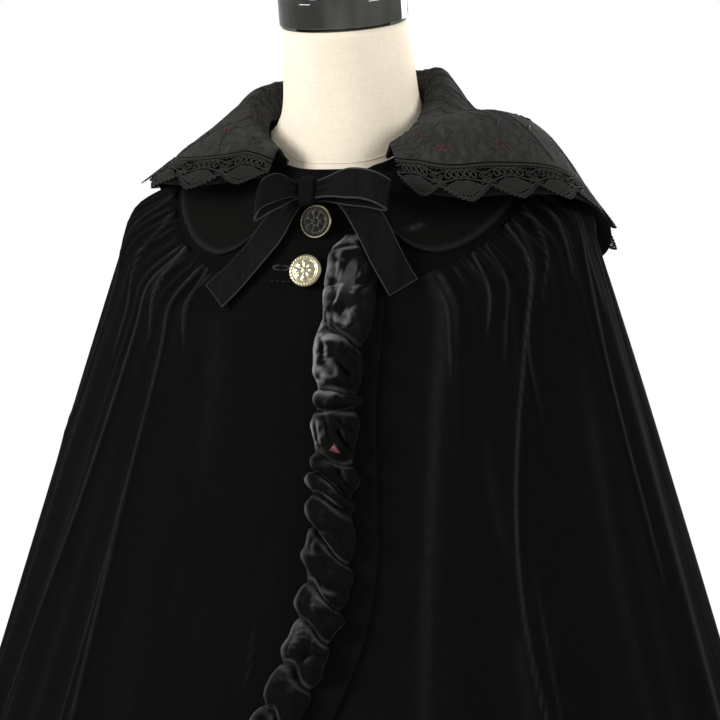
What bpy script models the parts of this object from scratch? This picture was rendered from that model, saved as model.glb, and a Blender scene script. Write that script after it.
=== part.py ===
"""Velvet cape with a lace-edged falling collar, worn by a limbless dress form.

Metres, +Z up. The front faces -Y, the wearer's left is +X, the origin is the floor centre under the base.
Cloth is placed by an angle (0 at the centre front, + to the wearer's left) and a fall in metres along the
cloth (negative on the yoke, 0 at the yoke seam, positive on the gathered body).
"""
import math
from collections import namedtuple

import bmesh
import bpy
import numpy as np

# Walls and gaps
VELVET = 0.0020
COLLAR_CLOTH = 0.0016
RIBBON = 0.0015
LACE = 0.0012
SEAM = 0.0003
LAP = 0.0034

# Garment lengths along the cloth
NECK_FALL = -0.095
HEM_FALL = 0.700
NECK_CENTRE_Y = -0.012

# One row for each ring of the garment
Ring = namedtuple("Ring", "fall half_width front back middle z_front z_side z_back")
RINGS = (
    Ring(-0.095, 0.066, 0.063, 0.066, -0.012, 1.354, 1.396, 1.412),
    Ring(-0.048, 0.107, 0.093, 0.097, -0.003, 1.313, 1.374, 1.362),
    Ring(0.000, 0.150, 0.117, 0.119, 0.006, 1.262, 1.351, 1.292),
    Ring(0.035, 0.186, 0.124, 0.130, 0.008, 1.232, 1.331, 1.262),
    Ring(0.070, 0.1975, 0.132, 0.139, 0.010, 1.200, 1.298, 1.229),
    Ring(0.140, 0.220, 0.150, 0.158, 0.011, 1.138, 1.226, 1.162),
    Ring(0.280, 0.264, 0.183, 0.194, 0.012, 1.015, 1.078, 1.027),
    Ring(0.420, 0.308, 0.215, 0.228, 0.012, 0.892, 0.930, 0.892),
    Ring(0.560, 0.353, 0.246, 0.262, 0.012, 0.768, 0.781, 0.757),
    Ring(0.700, 0.398, 0.276, 0.295, 0.012, 0.645, 0.632, 0.622),
)
SIDE_SOFTNESS = 0.20
SIDE_POWER = 1.4
SWAY = -0.0035

# Grid rows of the body and yoke as falls, and grid columns of the body
BODY_FALLS = (0.70, 0.58, 0.46, 0.34, 0.23, 0.14, 0.075, 0.035, 0.012, 0.5 * SEAM)
YOKE_FALLS = (-SEAM, -0.024, -0.048, -0.072, NECK_FALL)

# One row for each large fold of the body, angles in degrees at the yoke seam and at the hem
Fold = namedtuple("Fold", "top hem spread height")
FOLDS = (
    Fold(-174, -174, 4.4, 0.016), Fold(-161, -162, 4.0, 0.014), Fold(-148, -148, 4.4, 0.017),
    Fold(-134, -135, 4.4, 0.016), Fold(-120, -121, 4.4, 0.015), Fold(-106, -107, 4.4, 0.017),
    Fold(-92, -94, 4.4, 0.017), Fold(-79, -81, 4.0, 0.014), Fold(-66, -69, 4.2, 0.016),
    Fold(-53, -56, 3.8, 0.015), Fold(-46, -46, 3.2, 0.009), Fold(-40, -36, 3.4, 0.012),
    Fold(-28, -24, 4.0, 0.006), Fold(38, 16, 4.4, 0.011), Fold(50, 32, 4.2, 0.010),
    Fold(60, 46, 4.2, 0.015), Fold(70, 59, 4.2, 0.014), Fold(82, 72, 4.2, 0.016),
    Fold(95, 86, 4.4, 0.015), Fold(108, 101, 4.4, 0.017), Fold(121, 116, 4.4, 0.015),
    Fold(135, 131, 4.4, 0.016), Fold(148, 146, 4.4, 0.015), Fold(161, 160, 4.0, 0.014),
    Fold(173, 172, 4.0, 0.016),
)
FOLD_SINK = 0.006
FOLD_START = 0.050

# Small gathers where the body meets the yoke
SMOOTH_ANGLE = 35.0
FRONT_GATHERS = 12
BACK_GATHERS = 32
GATHER_HEIGHT = 0.0034
GATHER_FADE = 0.060
SMOOTH_COLUMNS = 9
FRONT_COLUMNS = 2 * FRONT_GATHERS + SMOOTH_COLUMNS
BACK_COLUMNS = 2 * BACK_GATHERS

# Front edge of the lap and the centre line of the gathered strip, x at each fall
Edge = namedtuple("Edge", "fall strip lap")
EDGES = (
    Edge(-0.095, 0.010, 0.022), Edge(-0.045, 0.026, 0.050), Edge(0.000, 0.024, 0.053),
    Edge(0.100, 0.0215, 0.0515), Edge(0.175, 0.024, 0.057), Edge(0.245, 0.025, 0.061),
    Edge(0.290, 0.0185, 0.0575), Edge(0.350, 0.001, 0.042), Edge(0.400, -0.019, 0.022),
    Edge(0.490, -0.050, -0.010), Edge(0.595, -0.080, -0.042), Edge(0.700, -0.100, -0.064),
)
UNDERLAP = 0.060

# Outer edge of the flat collar, angle in degrees from the centre front
Lobe = namedtuple("Lobe", "angle fall")
LOBES = (
    Lobe(7, -0.0815), Lobe(13, -0.070), Lobe(19, -0.056), Lobe(25, -0.041), Lobe(31, -0.024),
    Lobe(38, -0.0125), Lobe(46, -0.008), Lobe(60, -0.006), Lobe(90, -0.006), Lobe(140, -0.007),
    Lobe(180, -0.009),
)
LOBE_NECK_FALL = -0.083
LOBE_COLUMNS = 24
LOBE_OUT = 2 * SEAM + VELVET

# Sections of the wide falling collar, angles run from the wearer's left round the back to the right,
# with the sag between the roll and the crest
Fall = namedtuple("Fall", "angle roll_r roll_z sag crest_r crest_z edge_r edge_z")
FALLS = (
    Fall(40, 0.0695, 1.371, -0.001, 0.081, 1.364, 0.0925, 1.3425),
    Fall(45, 0.070, 1.3755, -0.001, 0.087, 1.373, 0.112, 1.334),
    Fall(50, 0.070, 1.380, -0.001, 0.092, 1.381, 0.130, 1.330),
    Fall(65, 0.067, 1.392, 0.001, 0.108, 1.394, 0.160, 1.332),
    Fall(80, 0.063, 1.406, 0.004, 0.125, 1.398, 0.186, 1.332),
    Fall(95, 0.061, 1.421, 0.008, 0.134, 1.3955, 0.202, 1.321),
    Fall(115, 0.061, 1.436, 0.010, 0.128, 1.392, 0.210, 1.293),
    Fall(140, 0.064, 1.439, 0.004, 0.116, 1.394, 0.195, 1.275),
    Fall(180, 0.070, 1.438, -0.003, 0.114, 1.392, 0.172, 1.266),
    Fall(220, 0.074, 1.436, -0.003, 0.114, 1.392, 0.190, 1.280),
    Fall(245, 0.076, 1.430, -0.003, 0.112, 1.398, 0.187, 1.320),
    Fall(265, 0.076, 1.420, -0.002, 0.108, 1.399, 0.172, 1.349),
    Fall(280, 0.076, 1.406, -0.001, 0.105, 1.394, 0.165, 1.350),
    Fall(295, 0.075, 1.393, -0.001, 0.099, 1.388, 0.151, 1.345),
    Fall(310, 0.073, 1.382, -0.001, 0.097, 1.375, 0.122, 1.3425),
    Fall(318, 0.072, 1.3755, -0.001, 0.088, 1.3695, 0.101, 1.346),
    Fall(326, 0.071, 1.369, -0.001, 0.079, 1.364, 0.0875, 1.3475),
)
FIRST_FALL = math.radians(FALLS[0].angle)
LAST_FALL = math.radians(FALLS[-1].angle)
ROLL_RADIUS = 0.008
FALL_ROWS = 6
FALL_EDGE_ROWS = 2
FALL_COLUMNS = 36
LACE_DEPTH = 0.034
LACE_HANG = 0.18
LACE_SHARE = 0.70

# Lace edging: cells across one repeat, bottom of each column line and the columns cut through
LACE_REPEATS = 24
LACE_BOTTOM = (0.60, 0.80, 0.94, 1.00, 0.94, 0.80)
LACE_LEVELS = (0.0, 0.14, 0.32)
LACE_HOLES = (0, 2, 4)

# Gathered strip, with the falls of the drawn threads between its puffs at its two sides
Draw = namedtuple("Draw", "body_side lap_side")
DRAWS = (
    Draw(-0.036, -0.036), Draw(-0.018, -0.017), Draw(0.004, 0.011), Draw(0.035, 0.056), Draw(0.091, 0.096),
    Draw(0.107, 0.106), Draw(0.144, 0.157), Draw(0.160, 0.186), Draw(0.180, 0.198), Draw(0.209, 0.242),
    Draw(0.252, 0.278), Draw(0.285, 0.306), Draw(0.324, 0.344), Draw(0.360, 0.383), Draw(0.398, 0.420),
    Draw(0.440, 0.457), Draw(0.478, 0.503), Draw(0.520, 0.541), Draw(0.556, 0.580), Draw(0.598, 0.619),
    Draw(0.640, 0.662), Draw(0.694, 0.694),
)
STRIP_ROWS = 3 * (len(DRAWS) - 1)
STRIP_HALF = 0.0190
STRIP_RISE = 0.0065
PUFF_RISE = 0.0055

# Bow: knot centre, ribbon and loops
KNOT = np.array((-0.011, -0.0965, 1.3355))
KNOT_SIZE = (0.0085, 0.0065, 0.0120)
BOW_UP = np.array((0.0, 0.36, 0.933))
BOW_OUT = np.array((0.0, -0.933, 0.36))
RIBBON_WIDTH = 0.0250
LOOP_STAND = 0.016
LOOP_START = 0.0078
Path = namedtuple("Path", "key reach lift")
LOOP_PATH = (
    Path(0.00, 0.00, -0.0030), Path(0.22, 0.45, -0.0045), Path(0.42, 0.90, -0.0035),
    Path(0.50, 1.00, 0.0015), Path(0.58, 0.90, 0.0065), Path(0.78, 0.45, 0.0080), Path(1.00, 0.00, 0.0025),
)
Tail = namedtuple("Tail", "key x fall out")
TAIL_LEFT = (
    Tail(0.0, 0.010, -0.069, 0.0040), Tail(0.33, 0.033, -0.047, 0.0092),
    Tail(0.67, 0.0535, -0.013, 0.0116), Tail(1.0, 0.067, 0.009, 0.0070),
)
TAIL_RIGHT = (
    Tail(0.0, -0.025, -0.056, 0.0070), Tail(0.33, -0.043, -0.031, 0.0060),
    Tail(0.67, -0.066, -0.003, 0.0062), Tail(1.0, -0.084, 0.019, 0.0072),
)

# Buttons: place on the cloth, and the turned outline from the top centre to the shank
Button = namedtuple("Button", "node x fall tip turn")
BUTTONS = (
    Button("button_upper", -0.002, -0.0455, 16.0, -8.0),
    Button("button_lower", -0.008, -0.0100, 0.0, 0.0),
)
SHANK_RADIUS = 0.0036
BUTTON_OUTLINE = (
    (0.0, 0.0068), (0.0050, 0.0066), (0.0095, 0.0060), (0.0108, 0.0064), (0.0125, 0.0060), (0.0130, 0.0050),
    (0.0120, 0.0042), (0.0040, 0.0036), (SHANK_RADIUS, -0.0003), (0.0, -0.0003),
)

# Dress form
Trunk = namedtuple("Trunk", "half_width front back middle z_front z_side z_back")
TRUNK = (
    Trunk(0.135, 0.092, 0.100, 0.004, 0.700, 0.700, 0.700),
    Trunk(0.153, 0.106, 0.114, 0.004, 0.716, 0.716, 0.716),
    Trunk(0.160, 0.111, 0.121, 0.004, 0.830, 0.830, 0.830),
    Trunk(0.140, 0.103, 0.107, 0.003, 0.930, 0.930, 0.930),
    Trunk(0.117, 0.088, 0.085, 0.000, 1.020, 1.020, 1.020),
    Trunk(0.138, 0.112, 0.098, 0.000, 1.095, 1.095, 1.095),
    Trunk(0.160, 0.122, 0.112, 0.003, 1.165, 1.205, 1.165),
    Trunk(0.171, 0.118, 0.120, 0.006, 1.205, 1.275, 1.225),
)
FORM_FALLS = (0.038, 0.015, -0.020, -0.060, -0.095)
FORM_GAP = 0.0019
NECK_RINGS = ((0.0575, -0.009, 1.4035, 4.0), (0.0525, -0.021, 1.437, 10.0), (0.0485, -0.035, 1.472, 15.0))
FORM_SIDES = 32
CAP_OUTLINE = (
    (0.0, 0.0345), (0.0405, 0.0345), (0.0430, 0.0325), (0.0430, 0.0270), (0.0490, 0.0255),
    (0.0512, 0.0225), (0.0512, 0.0030), (0.0495, 0.0003), (0.0, 0.0003),
)
BASE_OUTLINE = (
    (0.0, 0.0150), (0.1500, 0.0150), (0.1880, 0.0105), (0.1920, 0.0070), (0.1920, 0.0), (0.0, 0.0),
)
POLE_RADIUS = 0.0140
POLE_Y = 0.004

# Colours: base colour, roughness, metallic
LOOKS = {
    "black_velvet": ((0.010, 0.010, 0.011), 0.85, 0.0),
    "embroidered_cloth": ((0.020, 0.020, 0.021), 0.90, 0.0),
    "black_lace": ((0.022, 0.022, 0.019), 0.90, 0.0),
    "velvet_ribbon": ((0.011, 0.012, 0.014), 0.80, 0.0),
    "antique_gold": ((0.560, 0.500, 0.330), 0.35, 1.0),
    "linen": ((0.870, 0.800, 0.680), 0.90, 0.0),
    "black_gloss": ((0.010, 0.010, 0.011), 0.12, 0.0),
    "stand_metal": ((0.550, 0.550, 0.560), 0.30, 1.0),
}


# Curves and surfaces

def along(rows, key):
    """Smooth values of every column of a table at each key, the first column being the key."""
    table = np.array(rows, dtype=float)
    keys = table[:, 0]
    slopes = np.gradient(table[:, 1:], keys, axis=0)
    cell = np.clip(np.searchsorted(keys, key) - 1, 0, len(keys) - 2)
    width = (keys[cell + 1] - keys[cell])[..., None]
    t = (np.asarray(key) - keys[cell])[..., None] / width
    low = (1 + 2 * t) * (1 - t) ** 2 * table[cell, 1:] + t * (1 - t) ** 2 * width * slopes[cell]
    high = t * t * (3 - 2 * t) * table[cell + 1, 1:] + t * t * (t - 1) * width * slopes[cell + 1]
    return low + high


def unit(vector):
    return vector / np.linalg.norm(vector, axis=-1, keepdims=True)


def ease(value):
    value = np.clip(value, 0.0, 1.0)
    return value * value * (3 - 2 * value)


def ring_point(values, angle):
    """Point of a saddle-shaped ring, angle in radians."""
    half_width, front, back, middle, z_front, z_side, z_back = np.moveaxis(values, -1, 0)
    facing = np.cos(angle)
    soft = np.sqrt(facing ** 2 + SIDE_SOFTNESS ** 2) - SIDE_SOFTNESS
    soft = np.clip(soft / (math.sqrt(1 + SIDE_SOFTNESS ** 2) - SIDE_SOFTNESS), 0.0, 1.0)
    lift = 1 - (1 - soft) ** SIDE_POWER
    x = half_width * np.sin(angle)
    y = middle - np.where(facing > 0, front, back) * facing
    z = z_side + (np.where(facing > 0, z_front, z_back) - z_side) * lift
    return np.stack((x, y, z), -1)


def sway(fall):
    """How far the body hangs to the wearer's right."""
    return SWAY * ease(np.asarray(fall) / 0.05)


def base_point(angle, fall):
    point = ring_point(along(RINGS, fall), angle)
    point[..., 0] += sway(fall)
    return point


def base_normal(angle, fall):
    step = 1e-4
    across = base_point(angle + step, fall) - base_point(angle - step, fall)
    down = base_point(angle, fall + step) - base_point(angle, fall - step)
    return unit(np.cross(down, across))


def half_width(fall):
    return along(RINGS, fall)[..., 0]


def edge_x(fall, column):
    return along(EDGES, fall)[..., column]


def angle_at(x, fall):
    return np.arcsin(np.clip((x - sway(fall)) / half_width(fall), -0.99, 0.99))


def drift(degrees, fall):
    """Angle in radians, at a fall, of the line that starts at an angle on the yoke seam."""
    tops = [-180.0] + [fold.top for fold in FOLDS] + [180.0]
    moves = [0.0] + [fold.hem - fold.top for fold in FOLDS] + [0.0]
    turned = (degrees + 180.0) % 360.0 - 180.0
    moved = degrees + np.interp(turned, tops, moves) * np.clip(fall / HEM_FALL, 0.0, 1.0)
    return np.radians(moved)


def fold_height(angle, fall):
    """Height of the large folds over the plain ring."""
    grow = np.clip((fall - FOLD_START) / (HEM_FALL - FOLD_START), 0.0, None) ** 0.9
    total = np.full(np.broadcast(angle, fall).shape, -FOLD_SINK)
    for fold in FOLDS:
        centre = fold.top + (fold.hem - fold.top) * fall / HEM_FALL
        away = (np.degrees(angle) - centre + 180.0) % 360.0 - 180.0
        total = total + fold.height * np.exp(-(away / fold.spread) ** 2)
    return total * grow


def gather_height(degrees, fall):
    """Height of the small gathers under the yoke seam, degrees measured at the seam."""
    size = np.abs((degrees + 180.0) % 360.0 - 180.0)
    front = np.sin(math.pi * FRONT_GATHERS * (size - SMOOTH_ANGLE) / (90.0 - SMOOTH_ANGLE)) ** 2
    back = np.sin(math.pi * 0.5 * BACK_GATHERS * (size - 90.0) / 90.0) ** 2
    wave = np.where(size < SMOOTH_ANGLE, 0.0, np.where(size <= 90.0, front, back))
    uneven = 0.80 + 0.20 * np.sin(0.37 * degrees)
    return GATHER_HEIGHT * uneven * wave * np.exp(-np.clip(fall, 0.0, None) / GATHER_FADE)


def lap_drop(angle, fall):
    """How far the left side sinks beneath the right front's lap."""
    edge = angle_at(edge_x(fall, 1), fall)
    return -LAP * ease((edge + math.radians(13.0) - angle) / math.radians(9.0))


def body_surface(angle, fall, out):
    """Point over the plain rings with the large folds."""
    lift = out + fold_height(angle, fall)
    return base_point(angle, fall) + base_normal(angle, fall) * lift[..., None]


# Object helpers

def material(name):
    found = bpy.data.materials.get(name)
    if found:
        return found
    colour, roughness, metallic = LOOKS[name]
    made = bpy.data.materials.new(name)
    made.use_nodes = True
    shader = made.node_tree.nodes["Principled BSDF"]
    shader.inputs["Base Color"].default_value = (*colour, 1.0)
    shader.inputs["Roughness"].default_value = roughness
    shader.inputs["Metallic"].default_value = metallic
    made.diffuse_color = (*colour, 1.0)
    return made


def keep(name, mesh_builder, look):
    """Turn a bmesh into a named object of the cape's collection."""
    bmesh.ops.recalc_face_normals(mesh_builder, faces=mesh_builder.faces)
    mesh = bpy.data.meshes.new(name)
    mesh_builder.to_mesh(mesh)
    mesh_builder.free()
    mesh.materials.append(material(look))
    made = bpy.data.objects.new(name, mesh)
    PARTS.objects.link(made)
    return made


def cloth(name, look, columns, rows, wall, place, is_cut=None):
    """Closed cloth wall: a grid laid on place(u, w), then grown inwards by its thickness."""
    bm = bmesh.new()
    bmesh.ops.create_grid(bm, x_segments=columns, y_segments=rows, size=0.5)
    if is_cut:
        gone = [face for face in bm.faces if is_cut(face.calc_center_median())]
        bmesh.ops.delete(bm, geom=gone, context="FACES")
    inner = list(bm.verts)
    bmesh.ops.extrude_face_region(bm, geom=list(bm.faces), use_keep_orig=True)
    within = set(inner)
    outer = [vert for vert in bm.verts if vert not in within]
    for verts, sink in ((outer, 0.0), (inner, wall)):
        u = np.array([vert.co.x + 0.5 for vert in verts])
        w = np.array([vert.co.y + 0.5 for vert in verts])
        points = place(u, w) - sink * sheet_normal(place, u, w)
        for vert, point in zip(verts, points):
            vert.co = point
    return keep(name, bm, look)


def sheet_normal(place, u, w):
    step = 1e-4
    across = place(u + step, w) - place(u - step, w)
    upward = place(u, w + step) - place(u, w - step)
    return unit(np.cross(across, upward))


def turned(name, look, outline, steps):
    """Turned solid from an outline of radius and height, top to bottom."""
    mesh = bpy.data.meshes.new(name)
    mesh.from_pydata([(r, 0.0, z) for r, z in outline], [(i, i + 1) for i in range(len(outline) - 1)], [])
    mesh.materials.append(material(look))
    made = bpy.data.objects.new(name, mesh)
    screw = made.modifiers.new("Turn", "SCREW")
    screw.steps = steps
    screw.render_steps = steps
    screw.use_merge_vertices = True
    screw.merge_threshold = 0.00005
    PARTS.objects.link(made)
    return made


# Cape pieces

def seam_degrees(fall):
    """Half a seam gap at the side, as an angle."""
    return np.degrees(0.5 * SEAM / along(RINGS, fall)[..., 1])


def rows_to_fall(w, falls):
    """Fall of each grid row, rows running up from the lowest."""
    return np.interp(w * (len(falls) - 1), np.arange(len(falls)), falls)


def front_place(side):
    """Body front: gathered columns from the side seam, then plain columns to the front edge."""
    def place(u, w):
        column = (u if side < 0 else 1 - u) * FRONT_COLUMNS
        fall = rows_to_fall(w, BODY_FALLS)
        gathered = np.clip(column / (2 * FRONT_GATHERS), None, 1.0)
        start = 90.0 - seam_degrees(fall)
        degrees = side * (start + (SMOOTH_ANGLE - start) * gathered)
        plain = np.clip((column - 2 * FRONT_GATHERS) / SMOOTH_COLUMNS, 0.0, None)
        end = edge_x(fall, 1) if side < 0 else edge_x(fall, 1) - UNDERLAP - 0.03
        angle = drift(degrees, fall)
        angle = angle + (angle_at(end, fall) - angle) * plain
        lift = gather_height(degrees, fall) * (plain <= 0) + (lap_drop(angle, fall) if side > 0 else 0.0)
        return body_surface(angle, fall, lift)
    return place


def back_place(u, w):
    fall = rows_to_fall(w, BODY_FALLS)
    start = 90.0 + seam_degrees(fall)
    degrees = start + (360.0 - 2 * start) * u
    return body_surface(drift(degrees, fall), fall, gather_height(degrees, fall))


def yoke_front_place(side):
    def place(u, w):
        fall = rows_to_fall(w, YOKE_FALLS)
        start = math.pi / 2 - np.radians(seam_degrees(fall))
        end = edge_x(fall, 1) if side < 0 else edge_x(fall, 1) - UNDERLAP
        inward = u if side < 0 else 1 - u
        angle = side * start + (angle_at(end, fall) - side * start) * inward * (0.55 + 0.45 * inward)
        drop = lap_drop(angle, fall) if side > 0 else np.zeros(angle.shape)
        return base_point(angle, fall) + base_normal(angle, fall) * drop[..., None]
    return place


def yoke_back_place(u, w):
    fall = rows_to_fall(w, YOKE_FALLS)
    start = math.pi / 2 + np.radians(seam_degrees(fall))
    return base_point(start + (2 * math.pi - 2 * start) * u, fall)


def lobe_place(side):
    """Flat collar half from the centre front round to the centre back."""
    def place(u, w):
        spread = (1 - u) if side < 0 else u
        ahead = np.clip(1 - 2 * spread, 0.0, None)
        behind = np.clip(2 * spread - 1, 0.0, None)
        degrees = 90.0 - (90.0 - LOBES[0].angle) * ahead * (0.55 + 0.45 * ahead) + (90.0 - 0.12) * behind
        low = along(LOBES, degrees)[..., 0]
        fall = low + (LOBE_NECK_FALL - low) * w
        angle = side * np.radians(degrees)
        return base_point(angle, fall) + base_normal(angle, fall) * LOBE_OUT
    return place


def fall_stations(angle):
    """Radius, height and share of length of the six points that each collar section passes."""
    values = along(FALLS, np.degrees(angle))
    roll_r, roll_z, sag, crest_r, crest_z, edge_r, edge_z = np.moveaxis(values, -1, 0)
    foot = base_point(angle, np.full(angle.shape, NECK_FALL))
    foot_r = np.hypot(foot[..., 0], foot[..., 1] - NECK_CENTRE_Y) + 0.6 * VELVET
    foot_z = foot[..., 2] + 4 * SEAM
    turn = np.minimum(ROLL_RADIUS, 0.45 * (roll_z - foot_z))
    radius = np.stack((foot_r, roll_r, roll_r + turn, 0.5 * (roll_r + turn + crest_r), crest_r, edge_r))
    height = np.stack((foot_z, roll_z - turn, roll_z, 0.5 * (roll_z + crest_z) - sag, crest_z, edge_z))
    length = np.cumsum(np.hypot(np.diff(radius, axis=0), np.diff(height, axis=0)), axis=0)
    share = np.concatenate((np.zeros((1,) + angle.shape), length / length[-1]))
    return radius, height, share, length[-1]


def lace_depth(u):
    """Depth of the lace at a share of the edge, less at the collar's short front ends."""
    lines = np.linspace(0.0, 1.0, FALL_COLUMNS + 1)
    share, length = fall_stations(edge_angle(lines))[2:]
    return np.interp(u, lines, np.minimum(LACE_DEPTH, LACE_SHARE * (1 - share[2]) * length))


def fall_section(angle, step):
    """Top of the wide collar's under layer: step 0 at the neck seam, 1 at the edge."""
    radius, height, share, length = fall_stations(angle)
    reach = through(radius, share, step)
    x = reach * np.sin(angle)
    y = NECK_CENTRE_Y - reach * np.cos(angle)
    return np.stack((x, y, through(height, share, step)), -1)


def through(values, keys, step):
    """Smooth curve through values at rising keys, each key with its own column."""
    gaps = np.diff(keys, axis=0)
    rises = np.diff(values, axis=0) / gaps
    middle = (rises[1:] * gaps[:-1] + rises[:-1] * gaps[1:]) / (gaps[:-1] + gaps[1:])
    slopes = np.concatenate((rises[:1], middle, rises[-1:]))
    result = values[0]
    for i in range(len(gaps)):
        t = (step - keys[i]) / gaps[i]
        low = (1 + 2 * t) * (1 - t) ** 2 * values[i] + t * (1 - t) ** 2 * gaps[i] * slopes[i]
        high = t * t * (3 - 2 * t) * values[i + 1] + t * t * (t - 1) * gaps[i] * slopes[i + 1]
        result = np.where((t >= 0) | (i == 0), low + high, result)
    return result


def fall_normal(angle, step):
    small = 1e-4
    across = fall_section(angle + small, step) - fall_section(angle - small, step)
    outward = fall_section(angle, step + small) - fall_section(angle, step - small)
    return unit(np.cross(outward, across))


def fall_step_above(angle, length):
    """Step of the point that lies a length of cloth above the collar's edge, or below it if negative."""
    steps = np.linspace(0.0, 1.3, 105)
    grid = fall_section(np.repeat(angle[:, None], 105, 1), np.repeat(steps[None, :], len(angle), 0))
    pieces = np.linalg.norm(np.diff(grid, axis=1), axis=2)
    run = np.concatenate((np.zeros((len(angle), 1)), np.cumsum(pieces, 1)), 1)
    lengths = np.broadcast_to(length, angle.shape)
    found = [np.interp(row[80] - want, row, steps) for want, row in zip(lengths, run)]
    return np.array(found)


def fall_rows(u, angle, row):
    """Step of a row: two rows up the stand, two over the roll, the rest down to the lace."""
    share = fall_stations(angle)[2]
    last = fall_step_above(angle, lace_depth(u) * (1 - LACE_HANG) + 4 * SEAM)
    stops = [np.zeros(angle.shape), share[1], 0.5 * (share[1] + share[2]), share[2]]
    rest = FALL_ROWS - len(stops) + 1
    stops += [share[2] + (last - share[2]) * (i + 1) / rest for i in range(rest)]
    stops += [last + (1 - last) * (i + 1) / FALL_EDGE_ROWS for i in range(FALL_EDGE_ROWS)]
    cell = np.clip(np.floor(row).astype(int), 0, len(stops) - 2)
    table = np.stack(stops)
    pick = np.arange(len(angle))
    return table[cell, pick] + (table[cell + 1, pick] - table[cell, pick]) * (row - cell)


def fall_under_place(u, w):
    angle = edge_angle(u)
    return fall_section(angle, fall_rows(u, angle, (1 - w) * (FALL_ROWS + FALL_EDGE_ROWS)))


def fall_upper_place(u, w):
    angle = edge_angle(u)
    step = fall_rows(u, angle, (1 - w) * FALL_ROWS)
    return fall_section(angle, step) + fall_normal(angle, step) * (SEAM + COLLAR_CLOTH)


def edge_angle(share):
    """Angle at a share of the length along the wide collar's edge."""
    angle = np.linspace(FIRST_FALL, LAST_FALL, 721)
    edge = fall_section(angle, np.full(angle.shape, 0.9))
    length = np.concatenate(((0.0,), np.cumsum(np.linalg.norm(np.diff(edge, axis=0), axis=1))))
    return np.interp(share, length / length[-1], angle)


def lace_place(u, w):
    columns = len(LACE_BOTTOM)
    angle = edge_angle(u)
    column = (u * LACE_REPEATS * columns) % columns
    bottom = np.interp(column, np.arange(columns + 1), LACE_BOTTOM + LACE_BOTTOM[:1])
    levels = np.array(LACE_LEVELS)
    row = (1 - w) * len(levels)
    last = row - (len(levels) - 1)
    depth = np.where(last > 0, levels[-1] + (bottom - levels[-1]) * last,
                     np.interp(row, np.arange(len(levels)), levels))
    step = fall_step_above(angle, lace_depth(u) * (1 - LACE_HANG - depth))
    return fall_section(angle, step) + fall_normal(angle, step) * (2 * SEAM + LACE)


def lace_gap(centre):
    """Cells of the header row that are cut through."""
    columns = len(LACE_BOTTOM)
    row = int((0.5 - centre.y) * len(LACE_LEVELS))
    column = int((centre.x + 0.5) * LACE_REPEATS * columns) % columns
    return row == 1 and column in LACE_HOLES


def strip_place(u, w):
    """Gathered strip: an arched wall with a puff for each draw of the thread."""
    across = 2 * u - 1
    number = (1 - w) * (len(DRAWS) - 1)
    sides = [np.interp(number, np.arange(len(DRAWS)), column) for column in zip(*DRAWS)]
    fall = sides[0] + (sides[1] - sides[0]) * u
    puff = np.abs(np.sin(math.pi * number))
    half = STRIP_HALF * (0.92 + 0.12 * puff)
    angle = angle_at(edge_x(fall, 0) + across * half, fall)
    grow = 0.6 + 0.4 * ease((fall + 0.03) / 0.08)
    arch = grow * (1 - across ** 2) * (STRIP_RISE + PUFF_RISE * puff)
    return body_surface(angle, fall, SEAM + VELVET + arch)


def loop_place(side, length, droop, rise):
    def place(u, w):
        reach, lift = np.moveaxis(along(LOOP_PATH, u), -1, 0)
        out = LOOP_START + reach * length
        lift = lift + LOOP_STAND * ease(reach)
        width = 0.013 + (RIBBON_WIDTH - 0.013) * ease(reach / 0.55)
        up = rise * reach - droop * reach ** 2 + (w - 0.5) * width
        aside = side * out
        return KNOT + np.outer(aside, (1.0, 0.0, 0.0)) + np.outer(up, BOW_UP) + np.outer(lift, BOW_OUT)
    return place


def tail_centre(rows, key):
    x, fall, out = np.moveaxis(along(rows, key), -1, 0)
    angle = angle_at(x, fall)
    return base_point(angle, fall) + base_normal(angle, fall) * out[..., None], base_normal(angle, fall)


def tail_place(rows, flip):
    def place(u, w):
        centre, outward = tail_centre(rows, u)
        ahead = unit(tail_centre(rows, u + 0.01)[0] - tail_centre(rows, u - 0.01)[0])
        aside = unit(np.cross(outward, ahead))
        width = 0.014 + (RIBBON_WIDTH - 0.014) * ease(u / 0.4)
        ripple = 0.0010 * np.sin(2 * math.pi * (1.4 * u + 0.5 * w))
        return centre + aside * (flip * (w - 0.5) * width)[..., None] + outward * ripple[..., None]
    return place


def bow_knot():
    bm = bmesh.new()
    bmesh.ops.create_uvsphere(bm, u_segments=12, v_segments=7, radius=1.0)
    for vert in bm.verts:
        x, y, z = (math.copysign(abs(value) ** 0.62, value) for value in vert.co)
        pinch = 1.0 - 0.14 * (1 - z * z)
        local = (x * KNOT_SIZE[0] * pinch, y * KNOT_SIZE[1] * pinch, z * KNOT_SIZE[2])
        vert.co = KNOT + local[0] * np.array((1.0, 0.0, 0.0)) - local[1] * BOW_OUT + local[2] * BOW_UP
    return keep("bow_knot", bm, "velvet_ribbon")


def button(row):
    angle = angle_at(np.array([row.x]), np.array([row.fall]))
    fall = np.array([row.fall])
    centre = base_point(angle, fall)[0]
    outward = base_normal(angle, fall)[0]
    made = turned(row.node, "antique_gold", BUTTON_OUTLINE, 20)
    made.location = centre + outward * (SHANK_RADIUS * math.sin(math.radians(row.tip)) + 0.5 * SEAM)
    made.rotation_mode = "XYZ"
    lean = math.acos(outward[2]) + math.radians(row.tip)
    made.rotation_euler = (lean, 0.0, math.atan2(outward[0], -outward[1]) + math.radians(row.turn))
    return made


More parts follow.
